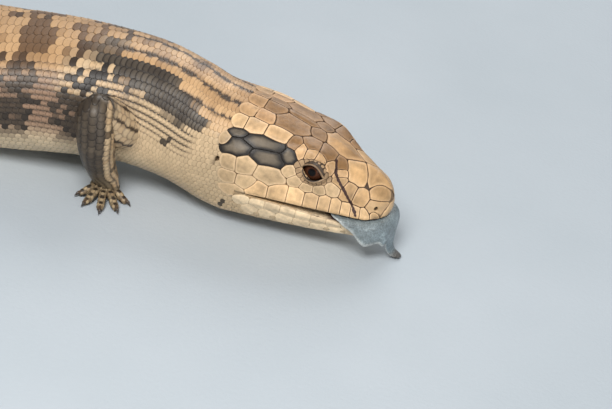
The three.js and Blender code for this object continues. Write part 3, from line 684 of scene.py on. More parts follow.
# %% Body colours
def body_colour(at, angle, places, pick):
    """Colours of the body at stations and angles. pick is a random number from 0 to 1 for each."""
    side = side_degrees(at, angle)
    drift, fine = ripple(places, 16, 3), ripple(places, 4.5, 5)
    pale = 0.45 + 0.35 * fine + 0.45 * ease(18, 42, side) * ease(85, 60, at)
    colour = mix(TAN, PALE_TAN, np.clip(pale, 0, 1))
    colour = mix(colour, CREAM, ease(48, 66, side) * ease(96, 60, at))
    colour = mix(colour, PINK_GREY, ease(50, 70, side) * ease(70, 84, at))
    colour = mix(colour, BELLY, ease(98, 122, side))
    # brown bars across the back, blacker on the flanks and gone under the belly
    spacing = rail((60, 13), (120, 17), (228, 15), (365, 12))(at)
    bars = np.cos((at - 84 + 3.4 * drift + 2.4 * fine) * 2 * np.pi / spacing)
    barred = ease(-0.15, 0.3, bars) * ease(64, 80, at) * ease(128, 100, side)
    dark = mix(BROWN, CHARCOAL, ease(40, 75, side))
    colour = mix(colour, dark, barred * np.where(pick > 0.84, 0.35, 0.95))
    flecks = (pick < 0.1) & (at > 66) & (side < 110)
    colour = np.where(flecks[:, None], mix(dark, BLACK, 0.4), colour)
    # two short bars over the neck
    neck_bars = np.exp(-(((at - 59.5 + 1.2 * fine) / 1.5) ** 2)) * ease(16, 8, side)
    colour = mix(colour, BROWN, np.clip(neck_bars, 0, 1) * 0.85)
    # pale and black checks on the shoulder
    checks = ease(73, 76, at) * ease(92, 86, at) * ease(33, 38, side) * ease(78, 70, side)
    checked = np.where((pick < 0.4)[:, None], BLACK, mix(PALE_TAN, CREAM, pick))
    colour = mix(colour, checked, checks)
    # the dark patch on each side of the neck, and a grey band from it over the shoulder
    ragged = 2.2 * fine
    under_top = ease(-1.5, 1.5, side - patch_top(at) + ragged)
    over_bottom = ease(1.5, -1.5, side - patch_bottom(at) + ragged)
    inside = under_top * over_bottom * ease(49, 50.5, at) * ease(84, 81, at)
    band = ease(76, 79, at + fine) * ease(86, 83, at + fine) * ease(40, 34, side) * ease(8, 16, side)
    shade = mix(CHARCOAL, UMBER, np.clip(0.5 + fine, 0, 1))
    colour = mix(colour, shade, inside)
    colour = mix(colour, mix(shade, SLATE, 0.6), band * 0.8)
    colour = mix(colour, THROAT, ease(80, 94, side) * ease(68, 54, at))
    for spot_at, spot_side in THROAT_SPOTS:
        spot = (np.abs(at - spot_at) < 0.7) & (np.abs(side - spot_side) < 3.2)
        colour = mix(colour, BLACK, spot * 0.9)
    return colour * (1 + 0.14 * (pick - 0.5))[:, None]


def line_strength(at, side):
    """How strongly the seams between pairs of rows are drawn in black."""
    nape = ease(41, 44, at) * ease(84, 76, at) * ease(-1, -4, side - patch_top(at))
    return nape * ease(48, 42, side)


def patch_strength(at, side):
    """Where the neck's dark patch is, whose scales have broad black rims."""
    return (ease(-1, 1, side - patch_top(at)) * ease(1, -1, side - patch_bottom(at)) *
            ease(49, 50.5, at) * ease(84, 81, at))


def dot_strength(at, side):
    """Where each scale has black corners at its rear: under the dark patch and on the shoulder."""
    below = ease(50, 53, at) * ease(86, 80, at) * ease(0, 4, side - patch_bottom(at)) * ease(92, 80, side)
    flank = ease(80, 86, at) * ease(236, 222, at) * ease(46, 58, side) * ease(112, 100, side)
    return np.maximum(below, 0.75 * flank)


some = np.array([100, 150, 200])
print("colours down the back:", body_colour(some, np.zeros(3), on_body(some, 0), np.full(3, 0.5)).round(2))

# %% [markdown]
# ## The pattern of the limbs
# The legs are charcoal with pale rows down the front edge and a pale striped root, and the toes are
# banded. They have coordinates of their own, so they have formulas of their own.

# %% Limb colours
FINGER_GREY, ROOT_TAN, PALE_ROW = (0.3, 0.235, 0.15), (0.43, 0.32, 0.2), (0.5, 0.33, 0.18)
TOE_BROWN, TOE_TAN, TOE_BAND = (0.27, 0.19, 0.11), (0.42, 0.32, 0.19), 2.1


def root_strength(name, along, places):
    """The front of a limb between the trunk and its elbow or knee."""
    leg = legs[name]
    ahead = places[:, 0] - leg.centre(along)[:, 0]
    return ease(0.44, 0.37, along / leg.length) * ease(-2.0, 0.5, ahead)


def leg_colour(name, along, angle, places, pick):
    """Charcoal limbs with pale rows down the front edge and a pale, striped root."""
    run = along / legs[name].length
    front_at = np.pi + 0.35 if leg_plans[name]["turn"] > 0 else -0.35
    front = np.cos(angle - front_at)
    fine = ripple(places, 3.5, 9)
    colour = mix(CHARCOAL, SLATE, np.clip(0.35 + 0.5 * fine, 0, 1))
    colour = mix(colour, FINGER_GREY, ease(0.78, 0.95, run) * 0.7)
    pale = mix(PALE_ROW, CREAM, pick)
    colour = mix(colour, pale, ease(0.5, 0.72, front) * np.where(pick < 0.22, 0.2, 0.95))
    colour = mix(colour, mix(pale, ROOT_TAN, 0.5), root_strength(name, along, places))
    return mix(colour, CREAM, ease(2.2, 0.6, places[:, 2]) * 0.5)


def toe_colour(along, pick):
    """Pale toes with black bands across."""
    pale = mix(TOE_BROWN, TOE_TAN, pick)
    return mix(pale, BLACK, ease(-0.1, 0.3, np.cos(along * 2 * np.pi / TOE_BAND)) * 0.95)


print("a toe's colours, band and gap:", toe_colour(np.array([0, TOE_BAND / 2]), np.full(2, 0.5)).round(2))

# %% [markdown]
# ## Charts of the skin
# The joined skin no longer knows which point is body, leg or toe. Each form lends sample points with
# their coordinates, and a point of the skin takes those of the nearest sample. The same coordinates
# give the flat map for baking: the body above, the legs and toes in rows below it, with no seams to
# mark by hand.

# %% Charts, flat map and paint
limbs = [*legs.values(), *toes.values()]
chart_names = ["body", *legs, *toes]
FIRST_TOE = 1 + len(legs)
charts = [[], [], [], []]  # sample points, chart numbers, distances, angles


def add_samples(number, form, at, angle):
    """Adds a form's sample points and their coordinates."""
    grid_at, grid_angle = np.meshgrid(at, angle, indexing="ij")
    columns = (form(grid_at, grid_angle).reshape(-1, 3), np.full(grid_at.size, number),
               grid_at.ravel(), grid_angle.ravel())
    for column, values in zip(charts, columns):
        column.append(values)


def nearest_index(known, asked):
    """For each asked point, the number of the known point nearest to it."""
    tree = KDTree(len(known))
    for i, point in enumerate(known.tolist()):
        tree.insert(point, i)
    tree.balance()
    return np.array([tree.find(p)[1] for p in asked.tolist()])


def colour_at(chart, at, angle, places, pick):
    """Colours for arrays of places, given their chart numbers and coordinates."""
    colour = np.zeros((len(places), 3))
    for number in np.unique(chart):
        of = chart == number
        name = chart_names[number]
        if number == 0:
            colour[of] = body_colour(at[of], angle[of], places[of], pick[of])
        elif name in legs:
            colour[of] = leg_colour(name, at[of], angle[of], places[of], pick[of])
        else:
            colour[of] = toe_colour(at[of], pick[of])
    return colour


def unwrap(chart, at, angle):
    """A place on the flat map of the skin: the body above, the legs and toes below it."""
    share = (np.asarray(angle) / (2 * np.pi)) % 1
    at, chart = np.asarray(at, float), np.asarray(chart)
    lengths = np.array([TIP_AT] + [limb.length for limb in limbs])
    across = np.clip(at / lengths[chart], 0, 1)
    body = np.stack([0.01 + 0.98 * across, 0.36 + 0.63 * share], -1)
    is_leg, toe = chart < FIRST_TOE, chart - FIRST_TOE
    slot = np.where(is_leg, chart - 1, toe % 10)
    of_leg = np.stack([0.01 + 0.25 * slot + 0.23 * across, 0.16 + 0.18 * share], -1)
    low = np.where(toe < 10, 0.085, 0.01)
    of_toe = np.stack([0.01 + 0.098 * slot + 0.09 * across, low + 0.07 * share], -1)
    place = np.where((chart == 0)[..., None], body, np.where(is_leg[..., None], of_leg, of_toe))
    return np.clip(place, 0.002, 0.998)


def paint(made, colours, uv):
    """Gives a mesh its colours and its flat map."""
    layer = made.data.color_attributes.new("Col", "FLOAT_COLOR", "POINT")
    rgba = np.concatenate([np.clip(colours, 0, 1), np.ones((len(colours), 1))], 1)
    layer.data.foreach_set("color", rgba.astype(np.float32).ravel())
    flat = made.data.uv_layers.new(name="OFBake")
    corner = np.zeros(len(made.data.loops), np.int32)
    made.data.loops.foreach_get("vertex_index", corner)
    flat.data.foreach_set("uv", uv[corner].astype(np.float32).ravel())


add_samples(0, on_body, np.arange(0.2, TIP_AT, 1.0), every_5_degrees)
for number, limb in enumerate(limbs, 1):
    stations = np.linspace(0, limb.length, 40 if number < FIRST_TOE else 12)
    add_samples(number, limb.point, stations, every_5_degrees[::4])
samples, *coordinates = map(np.concatenate, charts)
found = nearest_index(samples, points)
skin_chart, skin_at, skin_angle = (column[found] for column in coordinates)
BETWEEN_SCALES = 0.55  # the skin in the gaps is darker than the scales
skin_colour = colour_at(skin_chart, skin_at, skin_angle, points, np.full(len(points), 0.5)) * BETWEEN_SCALES
print("painted skin; charts used", len(np.unique(skin_chart)))

# %% [markdown]
# ## Shields of the head
# The head is plated with large flat shields, in pairs on either side of a middle row. Each has its
# own name and shape, and they meet in straight seams. Drawing every outline by hand would be long and
# would leave gaps. Instead each shield grows from a seed with its own length, width and turn, and
# stops halfway to its neighbours, so seams and corners come by themselves. Lips and jaw are rows.

# %% The list of shields
CROWN_TINT, CHEEK_TINT, LIP_TINT = (0.24, 0.128, 0.05), (0.51, 0.355, 0.2), (0.57, 0.375, 0.195)
DARK_TINT, JAW_TINT, SNOUT_TINT = (0.14, 0.11, 0.076), (0.7, 0.54, 0.35), (0.46, 0.285, 0.135)
shield_rows = [
    # name, distance from the snout, degrees round, half length, half width, turn, tint
    ("rostral", 0.35, 180, 1.9, 3.6, 0, LIP_TINT),
    ("frontonasal", 5.4, 0, 2.9, 4.4, 0, SNOUT_TINT),
    ("frontal", 15.6, 0, 5.4, 2.8, 0, (0.4, 0.235, 0.105)),
    ("interparietal", 26.6, 0, 4.4, 1.6, 0, CROWN_TINT),
    ("supranasal", 2.9, 50, 2.2, 2.3, 0, SNOUT_TINT),
    ("nasal", NOSTRIL[0], NOSTRIL[1], 2.3, 2.4, 0, SNOUT_TINT),
    ("loreal_front", 6.6, 73, 2.0, 2.1, 0, SNOUT_TINT),
    ("loreal_back", 9.8, 71, 1.9, 2.3, 0, SNOUT_TINT),
    ("preocular_upper", 12.5, 62, 1.8, 2.0, 0, SNOUT_TINT),
    ("preocular", 13.6, 78, 1.6, 1.5, 0, CHEEK_TINT),
    ("prefrontal", 9.4, 27, 3.4, 3.2, 8, SNOUT_TINT),
    ("supraocular_front", 13.6, 35, 2.3, 2.4, 0, CROWN_TINT),
    ("supraocular_middle", 17.4, 32, 2.6, 2.9, 0, CROWN_TINT),
    ("supraocular_back", 21.8, 33, 2.6, 2.8, 0, CROWN_TINT),
    ("frontoparietal", 22.4, 9, 2.5, 2.1, -20, CROWN_TINT),
    ("parietal", 28.8, 17, 5.6, 2.9, -12, CROWN_TINT),
    ("postocular", 25.4, 45, 2.1, 2.0, 0, CROWN_TINT),
    ("nuchal_front", 35.2, 6, 2.9, 2.5, 0, CROWN_TINT),
    ("nuchal_middle", 40.3, 6, 2.5, 2.5, 0, (0.42, 0.24, 0.105)),
    ("side_nuchal_front", 35.8, 22, 3.2, 2.3, 0, (0.45, 0.26, 0.12)),
    ("side_nuchal_back", 41.3, 21, 2.5, 2.3, 0, (0.45, 0.27, 0.125)),
    ("upper_temporal_front", 30.8, 40, 3.4, 2.3, 0, (0.56, 0.36, 0.185)),
    ("upper_temporal_middle", 37.0, 38, 3.4, 2.3, 0, (0.62, 0.41, 0.22)),
    ("upper_temporal_back", 42.0, 37, 2.2, 2.2, 0, (0.6, 0.4, 0.21)),
    ("temporal_first", 26.1, 62, 1.6, 2.2, 20, DARK_TINT),
    ("temporal_upper", 33.0, 56, 5.3, 1.8, -2, DARK_TINT),
    ("temporal_lower", 30.4, 69, 4.6, 1.9, 4, DARK_TINT),
    ("temporal_back", 40.0, 66, 3.9, 2.4, -8, DARK_TINT),
    ("temporal_last", 44.4, 60, 1.5, 1.8, 0, CHEEK_TINT),
    ("temporal_top", 41.2, 52, 2.6, 1.2, 0, DARK_TINT),
    ("cheek_front", 29.4, 85, 3.5, 2.4, 8, CHEEK_TINT),
    ("cheek_middle", 35.6, 81, 2.8, 2.4, 8, CHEEK_TINT),
    ("cheek_low", 34.4, 93, 2.9, 1.8, 4, CHEEK_TINT),
    ("cheek_back", 40.6, 82, 2.3, 2.5, 8, CHEEK_TINT),
    ("cheek_last", 40.2, 93, 2.4, 2.0, 0, CHEEK_TINT),
    ("corner", 37.6, 102, 2.4, 1.5, 0, CHEEK_TINT),
    ("subocular_back", 25.2, 76, 1.5, 1.4, 0, CHEEK_TINT),
    ("subocular_third", 23.0, 84, 1.6, 1.2, 0, CHEEK_TINT),
    ("subocular_second", 20.0, 86, 1.6, 1.1, 0, CHEEK_TINT),
    ("subocular_first", 17.0, 85, 1.5, 1.1, 0, CHEEK_TINT),
]
brow_row = [("supraciliary", 12.9 + 2.7 * i, 51 - 0.9 * abs(i - 2), 2.2, 1.9, 0, (0.5, 0.31, 0.155))
            for i in range(5)]
labial_places = [2.4, 4.6, 6.9, 9.3, 11.9, 14.7, 18.0, 21.9, 26.4, 31.4]
upper_labials = [("upper_labial", at, 97, 1.25 + 0.13 * i, 1.9 + 0.06 * i, -10, LIP_TINT)
                 for i, at in enumerate(labial_places)]
jaw_rows = [("mental", 1.2, 180, 1.5, 2.6, 0, JAW_TINT), ("postmental", 4.6, 180, 1.9, 2.9, 0, JAW_TINT)]
jaw_rows += [("lower_labial", 3.4 + 3.9 * i, 112, 1.9, 1.6, 0, JAW_TINT) for i in range(9)]
jaw_rows += [("chin", 8.4 + 4.6 * i, 160 - 5 * i, 2.3, 2.6 - 0.1 * i, 0, JAW_TINT) for i in range(3)]
jaw_rows += [("sublabial", 6.0 + 4.4 * i, 134 - 2 * i, 2.2, 1.9, 0, JAW_TINT) for i in range(7)]
print("rows in the list:", len(shield_rows + brow_row + upper_labials + jaw_rows))

# %% [markdown]
# ## Seeds on the skin
# A seed stands on the skin and knows which way is back and which is sideways. Small beads round the
# eyelids are seeds as well, and one more seed without a shield keeps the others off the eye.

# %% Plant the seeds
class Seed:
    """Where a shield grows: its place, its own directions and its half sizes."""

    def __init__(self, name, point, back_way, long, wide, turn, tint, root, kind):
        self.name, self.long, self.wide, self.tint, self.root, self.kind = name, long, wide, tint, root, kind
        self.place, self.normal = on_skin(point, whole_tree)
        back_way = unit(back_way - self.normal * (back_way @ self.normal))
        side_way = np.cross(self.normal, back_way)
        c, s = math.cos(math.radians(turn)), math.sin(math.radians(turn))
        self.x, self.y = back_way * c + side_way * s, side_way * c - back_way * s


def plant(row, side, kind):
    """The seed of a row of the list on one side of the head."""
    name, at, degrees, long, wide, turn, tint = row
    angle = math.radians(degrees) * side
    here, behind = on_body([at, at + 0.5], angle, 0.2)
    if kind == "jaw":
        here, behind = drop_jaw(here), drop_jaw(behind)
    return Seed(name, here, behind - here, long, wide, turn * -side, tint, (at, angle), kind)


seeds = []
for kind, rows in (("head", shield_rows + brow_row + upper_labials), ("jaw", jaw_rows)):
    for row in rows:
        in_middle = row[2] in (0, 180)
        seeds += [plant(row, side, kind) for side in ((1,) if in_middle else (1, -1))]
LID_SCALES, LID_TINT, LID_SIZE = 18, (0.36, 0.235, 0.13), (0.72, 0.62)
for side in (-1, 1):
    centre, outward, along_way, over_way = eye_frame(side)
    for x, y in almond(LID_SCALES):
        reach = np.array([x, y]) * (1 + 0.95 / np.hypot(x, y))
        start = centre + along_way * reach[0] + over_way * reach[1] + outward * 8
        hit = skin_tree.ray_cast(Vector(start) * MM, Vector(-outward))[0]
        round_way, root = along_way * -y + over_way * x, (EYE_AT, side * 1.2)
        seeds.append(Seed("lid", np.array(hit) / MM, round_way, *LID_SIZE, 0, LID_TINT, root, "lid"))
    seeds.append(Seed("eye", centre + outward * 4, along_way, 3.0, 1.5, 0, CHARCOAL, root, "eye"))
seed_place = np.array([s.place for s in seeds])
seed_x = np.array([s.x / s.long for s in seeds])
seed_y = np.array([s.y / s.wide for s in seeds])
seed_n = np.array([s.normal / s.wide for s in seeds])
print(len(seeds), "seeds")

# %% [markdown]
# ## How a shield grows
# From its seed a shield walks outward in forty directions, in small steps, until a neighbour's seed
# is nearer in that neighbour's own sizes, or the lip's edge is reached. Then it becomes a plate with
# a domed top, a rounded rim and a skirt sunk in the skin, which catches light along every seam. The
# nasal shield also dips into its nostril.

# %% Grow the shields
DIRECTIONS = 40
WALK, LONGEST_WALK, SMALLEST = 0.1, 1.7, 0.12
ring_shares = np.array([0.0, 0.22, 0.45, 0.66, 0.82, 0.92, 0.975, 1.0, 1.0])
NOSTRIL_RINGS = np.array([0.0, 0.3, 0.46, 0.54, 0.72])


def seed_distances(point):
    """How far a point is from every seed, each in the seed's own sizes."""
    gap = point - seed_place
    return np.sqrt((gap * seed_x).sum(1) ** 2 + (gap * seed_y).sum(1) ** 2 + 0.6 * (gap * seed_n).sum(1) ** 2)


def past_lip(point, kind):
    """True where a point has gone over the edge of its lip."""
    if kind == "head":
        offset = point - in_head(0, 0, 0)
        return offset @ head_up < 0.25 and -offset @ head_forward < MOUTH_CORNER_AT - 0.5
    if kind == "jaw":
        closed = (point - hinge) @ jaw_turn + hinge
        return (closed - in_head(0, 0, 0)) @ head_up > -0.45
    return False


def seam_of(seed):
    """Colour of the seam round a shield, how strongly its rim takes it, and half the seam's width."""
    if seed.tint is DARK_TINT:
        return (0.012, 0.009, 0.007), 1.0, 0.05
    if seed.kind == "jaw":
        return (0.3, 0.21, 0.12), 0.2, 0.02
    if seed.tint is CHEEK_TINT or seed.tint is LIP_TINT and seed.root[0] > 20:
        return (0.19, 0.115, 0.06), 0.5, 0.04
    return (0.06, 0.032, 0.018), 0.85, 0.07


def reach_of(seed):
    """How far a shield may grow, in its own sizes, where no neighbour stops it."""
    if seed.kind == "lid":
        return 1.9
    if seed.kind == "jaw":
        return 1.4
    return 1.18 if seed.root[0] > 38 else 1.9


def rim_of(index):
    """Distance from the middle of a shield to its edge in each direction."""
    seed, limit, rim = seeds[index], reach_of(seeds[index]), []
    suture = seam_of(seed)[2]

    def outside(reach, flat, own_scale):
        """Whether a point at this reach belongs to another shield or to none."""
        place, _ = on_skin(seed.place + flat * reach, whole_tree)
        distance = seed_distances(place)
        own = distance[index]
        distance[index] = 1e9
        too_far = own > limit or reach * own_scale > LONGEST_WALK * limit
        return distance.min() < own or too_far or past_lip(place, seed.kind)

    for way in spokes(DIRECTIONS):
        flat = seed.x * math.cos(way) + seed.y * math.sin(way)
        own_scale = math.hypot(math.cos(way) / seed.long, math.sin(way) / seed.wide)
        step = WALK / own_scale
        upper = step
        while not outside(upper, flat, own_scale):
            upper += step
        lower = upper - step
        for _ in range(4):
            middle = (lower + upper) / 2
            if outside(middle, flat, own_scale):
                upper = middle
            else:
                lower = middle
        rim.append(max(lower - suture, SMALLEST))
    return np.array(rim)


def grow_shield(index):
    """Points of one shield, and how far out each one lies from 0 to 1."""
    seed, rim = seeds[index], rim_of(index)
    size = min(rim.mean(), 3.0)
    rim_ring, skirt_ring = len(ring_shares) - 2, len(ring_shares) - 1
    way = spokes(DIRECTIONS)
    flat = seed.x * np.cos(way)[:, None] + seed.y * np.sin(way)[:, None]
    made, shares = [], []
    for r, share in enumerate(ring_shares):
        reach = rim * share
        if seed.name == "nasal" and r < len(NOSTRIL_RINGS):
            reach = np.minimum(np.full(DIRECTIONS, NOSTRIL_RINGS[r]), rim * 0.8)
        for spot in [seed.place] if r == 0 else seed.place + flat * reach[:, None]:
            place, normal = on_skin(spot, whole_tree)
            height = (0.15 if seed.kind == "jaw" else 0.26) + 0.05 * size * (1 - share**2)
            height -= (0.06 if r == rim_ring else 0) + (0.5 if r == skirt_ring else 0)
            made.append(place + normal * height)
            shares.append(share + (0.1 if r == skirt_ring else 0))
    return np.array(made), np.array(shares)


def fan_faces(rings, sides):
    """Triangles of a polar grid: one middle point, then rings of sides points."""
    k = np.arange(sides)
    j = (k + 1) % sides
    faces = [np.stack([np.zeros(sides, int), 1 + k, 1 + j], 1)]
    for r in range(rings - 1):
        a, b = 1 + r * sides, 1 + (r + 1) * sides
        faces.append(np.stack([a + k, b + k, b + j], 1))
        faces.append(np.stack([a + k, b + j, a + j], 1))
    return np.concatenate(faces)


print("reach of the frontal shield:", rim_of(2).round(1)[:4], "mm")

# %% [markdown]
# ## Colour of the shields
# A shield has its own tint with a little mottling, a pale ring inside its rim that is a painted
# highlight on its raised edge, and a dark seam.
# Those of the patch behind the eye are dark with black edges, and the jaw's are pale and almost
# seamless. The plates are gathered into four meshes, and the skin under them takes the seams' colour.

# %% Colour and gather the shields
RIM_TAN, NOSTRIL_SHADE = (0.6, 0.4, 0.21), (0.006, 0.004, 0.003)
shield_faces = fan_faces(len(ring_shares) - 1, DIRECTIONS)
shield_batches = {"crown_shields": [], "right_shields": [], "left_shields": [], "jaw_shields": []}
for index, seed in enumerate(seeds):
    if seed.kind == "eye":
        continue
    made, share = grow_shield(index)
    nostril = seed.name == "nasal"
    inner = np.linalg.norm(made - made[0], axis=1)
    if nostril:
        rolled = ease(0.5, 0.56, inner) * ease(1.2, 0.7, inner) * 0.2
        made = made - seed.normal * (ease(0.5, 0.42, inner) * 1.2 - rolled)[:, None]
    tone = np.array(seed.tint) * (1 + 0.2 * (rng.random() - 0.5))
    patchy = 0.1 if seed.kind == "jaw" or seed.tint is CHEEK_TINT else 0.2
    colour = tone * (1 + patchy * ripple(made, 3.2, 11) + 0.12 * ripple(made, 1.1, 13))[:, None]
    seam_colour, seam, _ = seam_of(seed)
    if seed.tint is DARK_TINT:
        colour = mix(colour, seam_colour, ease(0.52, 0.8, share))
    else:
        # painted highlight: a pale ring inside the rim, where light catches the shield's raised edge
        rim_highlight = 0.25 if seed.kind in ("jaw", "lid") else 0.75
        ring = ease(0.74, 0.92, share) * ease(0.995, 0.96, share) * rim_highlight
        colour = mix(colour, np.minimum(tone * 1.35 + 0.05, 1), ring)
        colour = mix(colour, seam_colour, ease(0.96, 1.0, share) * seam)
    if nostril:
        # painted shade: the nostril's pit is coloured almost black, as the shadow inside it
        colour = mix(colour, NOSTRIL_SHADE, ease(0.56, 0.46, inner))
        colour = mix(colour, RIM_TAN, ease(0.54, 0.6, inner) * ease(1.2, 0.7, inner) * 0.7)
    if seed.kind == "jaw":
        batch = "jaw_shields"
    elif abs(math.degrees(seed.root[1])) < 46:
        batch = "crown_shields"
    else:
        batch = "right_shields" if seed.root[1] > 0 else "left_shields"
    root = unwrap([0], [seed.root[0]], [seed.root[1]])[0]
    local = np.stack([(made - seed.place) @ seed.x, (made - seed.place) @ seed.y], 1)
    patch = root + local / max(np.abs(local).max(), 1e-6) * 0.0015
    shield_batches[batch].append((made, colour, patch))
coat = {}
for i in np.nonzero((skin_chart == 0) & (skin_at < 50))[0]:
    distance = seed_distances(points[i])
    if distance.min() < 1.7:
        seed = seeds[distance.argmin()]
        on_lip = seed.kind == "jaw" or past_lip(points[i], "head")
        skin_colour[i] = np.array(seed.tint) * 0.75 if on_lip else seam_of(seed)[0]


def gather(name, batch, faces):
    """One joined mesh from many copies of the same grid of faces."""
    count = len(batch[0][0])
    all_points, colours, flat = (np.concatenate(column) for column in zip(*batch))
    all_faces = np.concatenate([faces + i * count for i in range(len(batch))])
    made = make_object(name, all_points, all_faces)
    paint(made, colours, flat)
    coat[name] = made
    print(name, len(batch), "plates", len(all_faces), "triangles")


for name, batch in shield_batches.items():
    gather(name, batch, shield_faces)

# %% [markdown]
# ## One scale
# A skink's scale is a smooth, rounded plate of horn whose rear edge rides over the scale behind it.
# One small pattern of points serves for all of them: a rounded square in four rings, the last of
# which becomes a skirt that reaches down into the skin.

# %% The pattern of a scale
SIDES, ROUNDNESS = 14, 2.6
scale_rings = np.array([0.5, 0.84, 0.97, 1.0])


def scale_template():
    """Points of one scale as (back, across, radius, ring), from a rounded square."""
    made = [(0.0, 0.0, 0.0, 0)]
    for number, ring in enumerate(scale_rings, 1):
        for turn in spokes(SIDES):
            x, y = math.cos(turn), math.sin(turn)
            square = (abs(x) ** ROUNDNESS + abs(y) ** ROUNDNESS) ** (-1 / ROUNDNESS)
            made.append((x * square * ring, y * square * ring, ring, number))
    return np.array(made).T


BACK, ACROSS, RADIUS, RING = scale_template()
SKIRT = (RING == len(scale_rings)).astype(float)
template_faces = fan_faces(len(scale_rings), SIDES)
print("a scale has", len(BACK), "points and", len(template_faces), "triangles")

# %% [markdown]
# ## Colour of a scale
# Each scale has the colour of its place in the markings, a pale band inside its rim and a dark rear
# edge. Where the pattern asks for it, rims turn black, corners make rows of dots, and seams between
# pairs of rows join into long wavy lines.

# %% Colour the scales
LINE_BROWN = (0.035, 0.022, 0.014)


def markings_of(chart, at, angle, centres):
    """How strongly lines, dots and black rims are drawn on each scale."""
    side = side_degrees(at, angle)
    if chart == 0:
        return line_strength(at, side), dot_strength(at, side), patch_strength(at, side)
    none, rims = np.zeros(len(at)), np.full(len(at), 0.35)
    if chart < FIRST_TOE:
        root = root_strength(chart_names[chart], at, centres)
        return root, 0.6 * (1 - root), rims
    return none, none, rims


def scale_colours(chart, at, angle, row, centres, pick):
    """Colours of every point of every scale."""
    base = colour_at(np.full(len(at), chart), at, angle, centres, pick)[:, None]
    lines, dots, black_rims = (strength[:, None] for strength in markings_of(chart, at, angle, centres))
    pick = pick[:, None]

    def laid(colour, new, strength):
        """A new colour over the old, at a strength for each point of the pattern."""
        return mix(colour, new, np.broadcast_to(strength, colour.shape[:2]))

    band = ease(0.45, 0.84, RADIUS) * ease(0.98, 0.88, RADIUS) * 0.16
    colour = base * (1 + band)[None, :, None]
    colour = laid(colour, base * 0.26, ease(0.78, 1.0, RADIUS) * ease(-0.4, 0.2, BACK) * 0.7)
    # painted shade: the front of the scale, under the raised rear edge of the scale ahead, is darker
    colour = laid(colour, base * 0.5, ease(-0.1, -0.7, BACK) * 0.7)
    rim = ease(0.5, 0.8, RADIUS) * ease(-0.6, 0.1, BACK)
    colour = laid(colour, BLACK, rim * black_rims * 0.85)
    corner = ease(0.36, 0.56, np.abs(ACROSS)) * ease(-0.35, 0.15, BACK)
    colour = laid(colour, BLACK, corner * dots)
    toward = np.where(row[:, None] % 2 == 1, ACROSS, -ACROSS)
    wavy = 0.4 + 0.3 * (pick - 0.5) - 0.12 * BACK
    drawn = lines * np.where(pick < 0.1, 0.3, 0.95)
    return laid(colour, LINE_BROWN, ease(wavy, wavy + 0.1, toward) * drawn)


nape = np.full(1, 60.0)
nape_scale = scale_colours(0, nape, nape * 0, np.zeros(1, int), on_body(nape, nape * 0), np.full(1, 0.5))
print("colours of a scale on the nape:", nape_scale.shape)

# %% [markdown]
# ## The coat of scales
# Rows of scales run from the head to the tip of the tail, each row half a scale behind the next, as
# bricks lie in a wall. Instances of one scale would be light, but they stay flat and stand off the
# skin on every curve. So every point of a scale is dropped onto the skin first and then raised by
# its own height, and the coat follows each fold.

# %% Lay the scales
JUST_OVER_GROUND = 0.02


def drop(places):
    """Nearest places on the skin and the outward directions there, for an array of any shape."""
    found = np.array([on_skin(p) for p in places.reshape(-1, 3)])
    return found[:, 0].reshape(places.shape), found[:, 1].reshape(places.shape)


def lay(chart, form, at, angle, row, long, wide, rise, thick=0.16, allowed=1.0, keep=None):
    """Lays a scale at each station and angle. Returns (points, colours, flat places) for each."""
    starts = form(at, angle)
    centres, _ = drop(starts)
    good = np.linalg.norm(centres - starts, axis=1) < allowed + abs(SKIN_DEPTH)
    if keep is not None:
        good &= keep(centres)
    at, angle, row, centres = at[good], angle[good], row[good], centres[good]
    long, wide, rise = (np.broadcast_to(v, good.shape)[good][:, None] for v in (long, wide, rise))
    pick = rng.random(len(at))
    places, normals = drop(form(at[:, None] + BACK * long, angle[:, None] + ACROSS * wide))
    height = thick * 0.5 + rise * (BACK + 1) / 2 + 0.07 * (1 - RADIUS**2) - SKIRT * (thick + rise)
    height = height * (1 + 0.3 * (pick[:, None] - 0.5) * (1 - SKIRT))
    made = places + normals * height[..., None]
    made[..., 2] = np.maximum(made[..., 2], JUST_OVER_GROUND)
    colour = scale_colours(chart, at, angle, row, centres, pick)
    roots = unwrap(np.full(len(at), chart), at, angle)
    spread = np.stack([BACK, ACROSS], 1) * 0.0014
    return [(made[i], colour[i], roots[i] + spread) for i in range(len(at))]


def lattice(start, end, rows, period_of):
    """Stations, shares of the way round and row numbers of scales laid like bricks."""
    found, at, j = [], start, 0
    while at < end:
        found += [(at, (r + 0.5) / rows, r) for r in range(j % 2, rows, 2)]
        at += float(period_of(at)) / 2
        j += 1
    at, share, row = np.array(found).T
    return at, share * 2 * np.pi, row.astype(int)


print("stations on 10 mm of tail:", len(lattice(230, 240, 34, lambda s: 1.9)[0]))

# %% [markdown]
# ## Scales of the body and tail
# Rows are broad on the back and narrow on the flanks, small on the neck, and fewer towards the tip of
# the tail. They stop at the shields, at the lips and round the ears. The coat is gathered in several
# meshes, each below a limit of triangles.

# %% Body coat
def on_head_and_body(at, angle):
    """The body's skin, with the jaw where the open mouth has it."""
    at, angle = np.broadcast_arrays(at, angle)
    made = on_body(at, angle, SKIN_DEPTH)
    side = np.degrees(np.minimum(angle % (2 * np.pi), 2 * np.pi - angle % (2 * np.pi)))
    lower = ((at < MOUTH_CORNER_AT) & (side > 102))[..., None]
    return np.where(lower, drop_jaw(made), made)


_, ear_forward, ear_left, ear_up = spine_frame(EAR[0])
ears = [on_body(EAR[0], math.radians(EAR[1]) * side) for side in (1, -1)]
# length of a scale along the body, and degrees from the line of the back to each row
period = rail((6, 1.4), (44, 1.25), (52, 1.05), (64, 1.1), (74, 1.35), (84, 1.65), (100, 1.8), (150, 2.0),
              (228, 1.9), (300, 1.8), (340, 1.5), (365, 1.1))
row_degrees = rail((0, 0), (6, 57), (20, 125), (27, 180))
BODY_ROWS = 54
TAIL_ZONES = ((227.5, 258, 34), (259, 292, 26), (293, 322, 20), (323, 345, 14), (346, 362, 8))


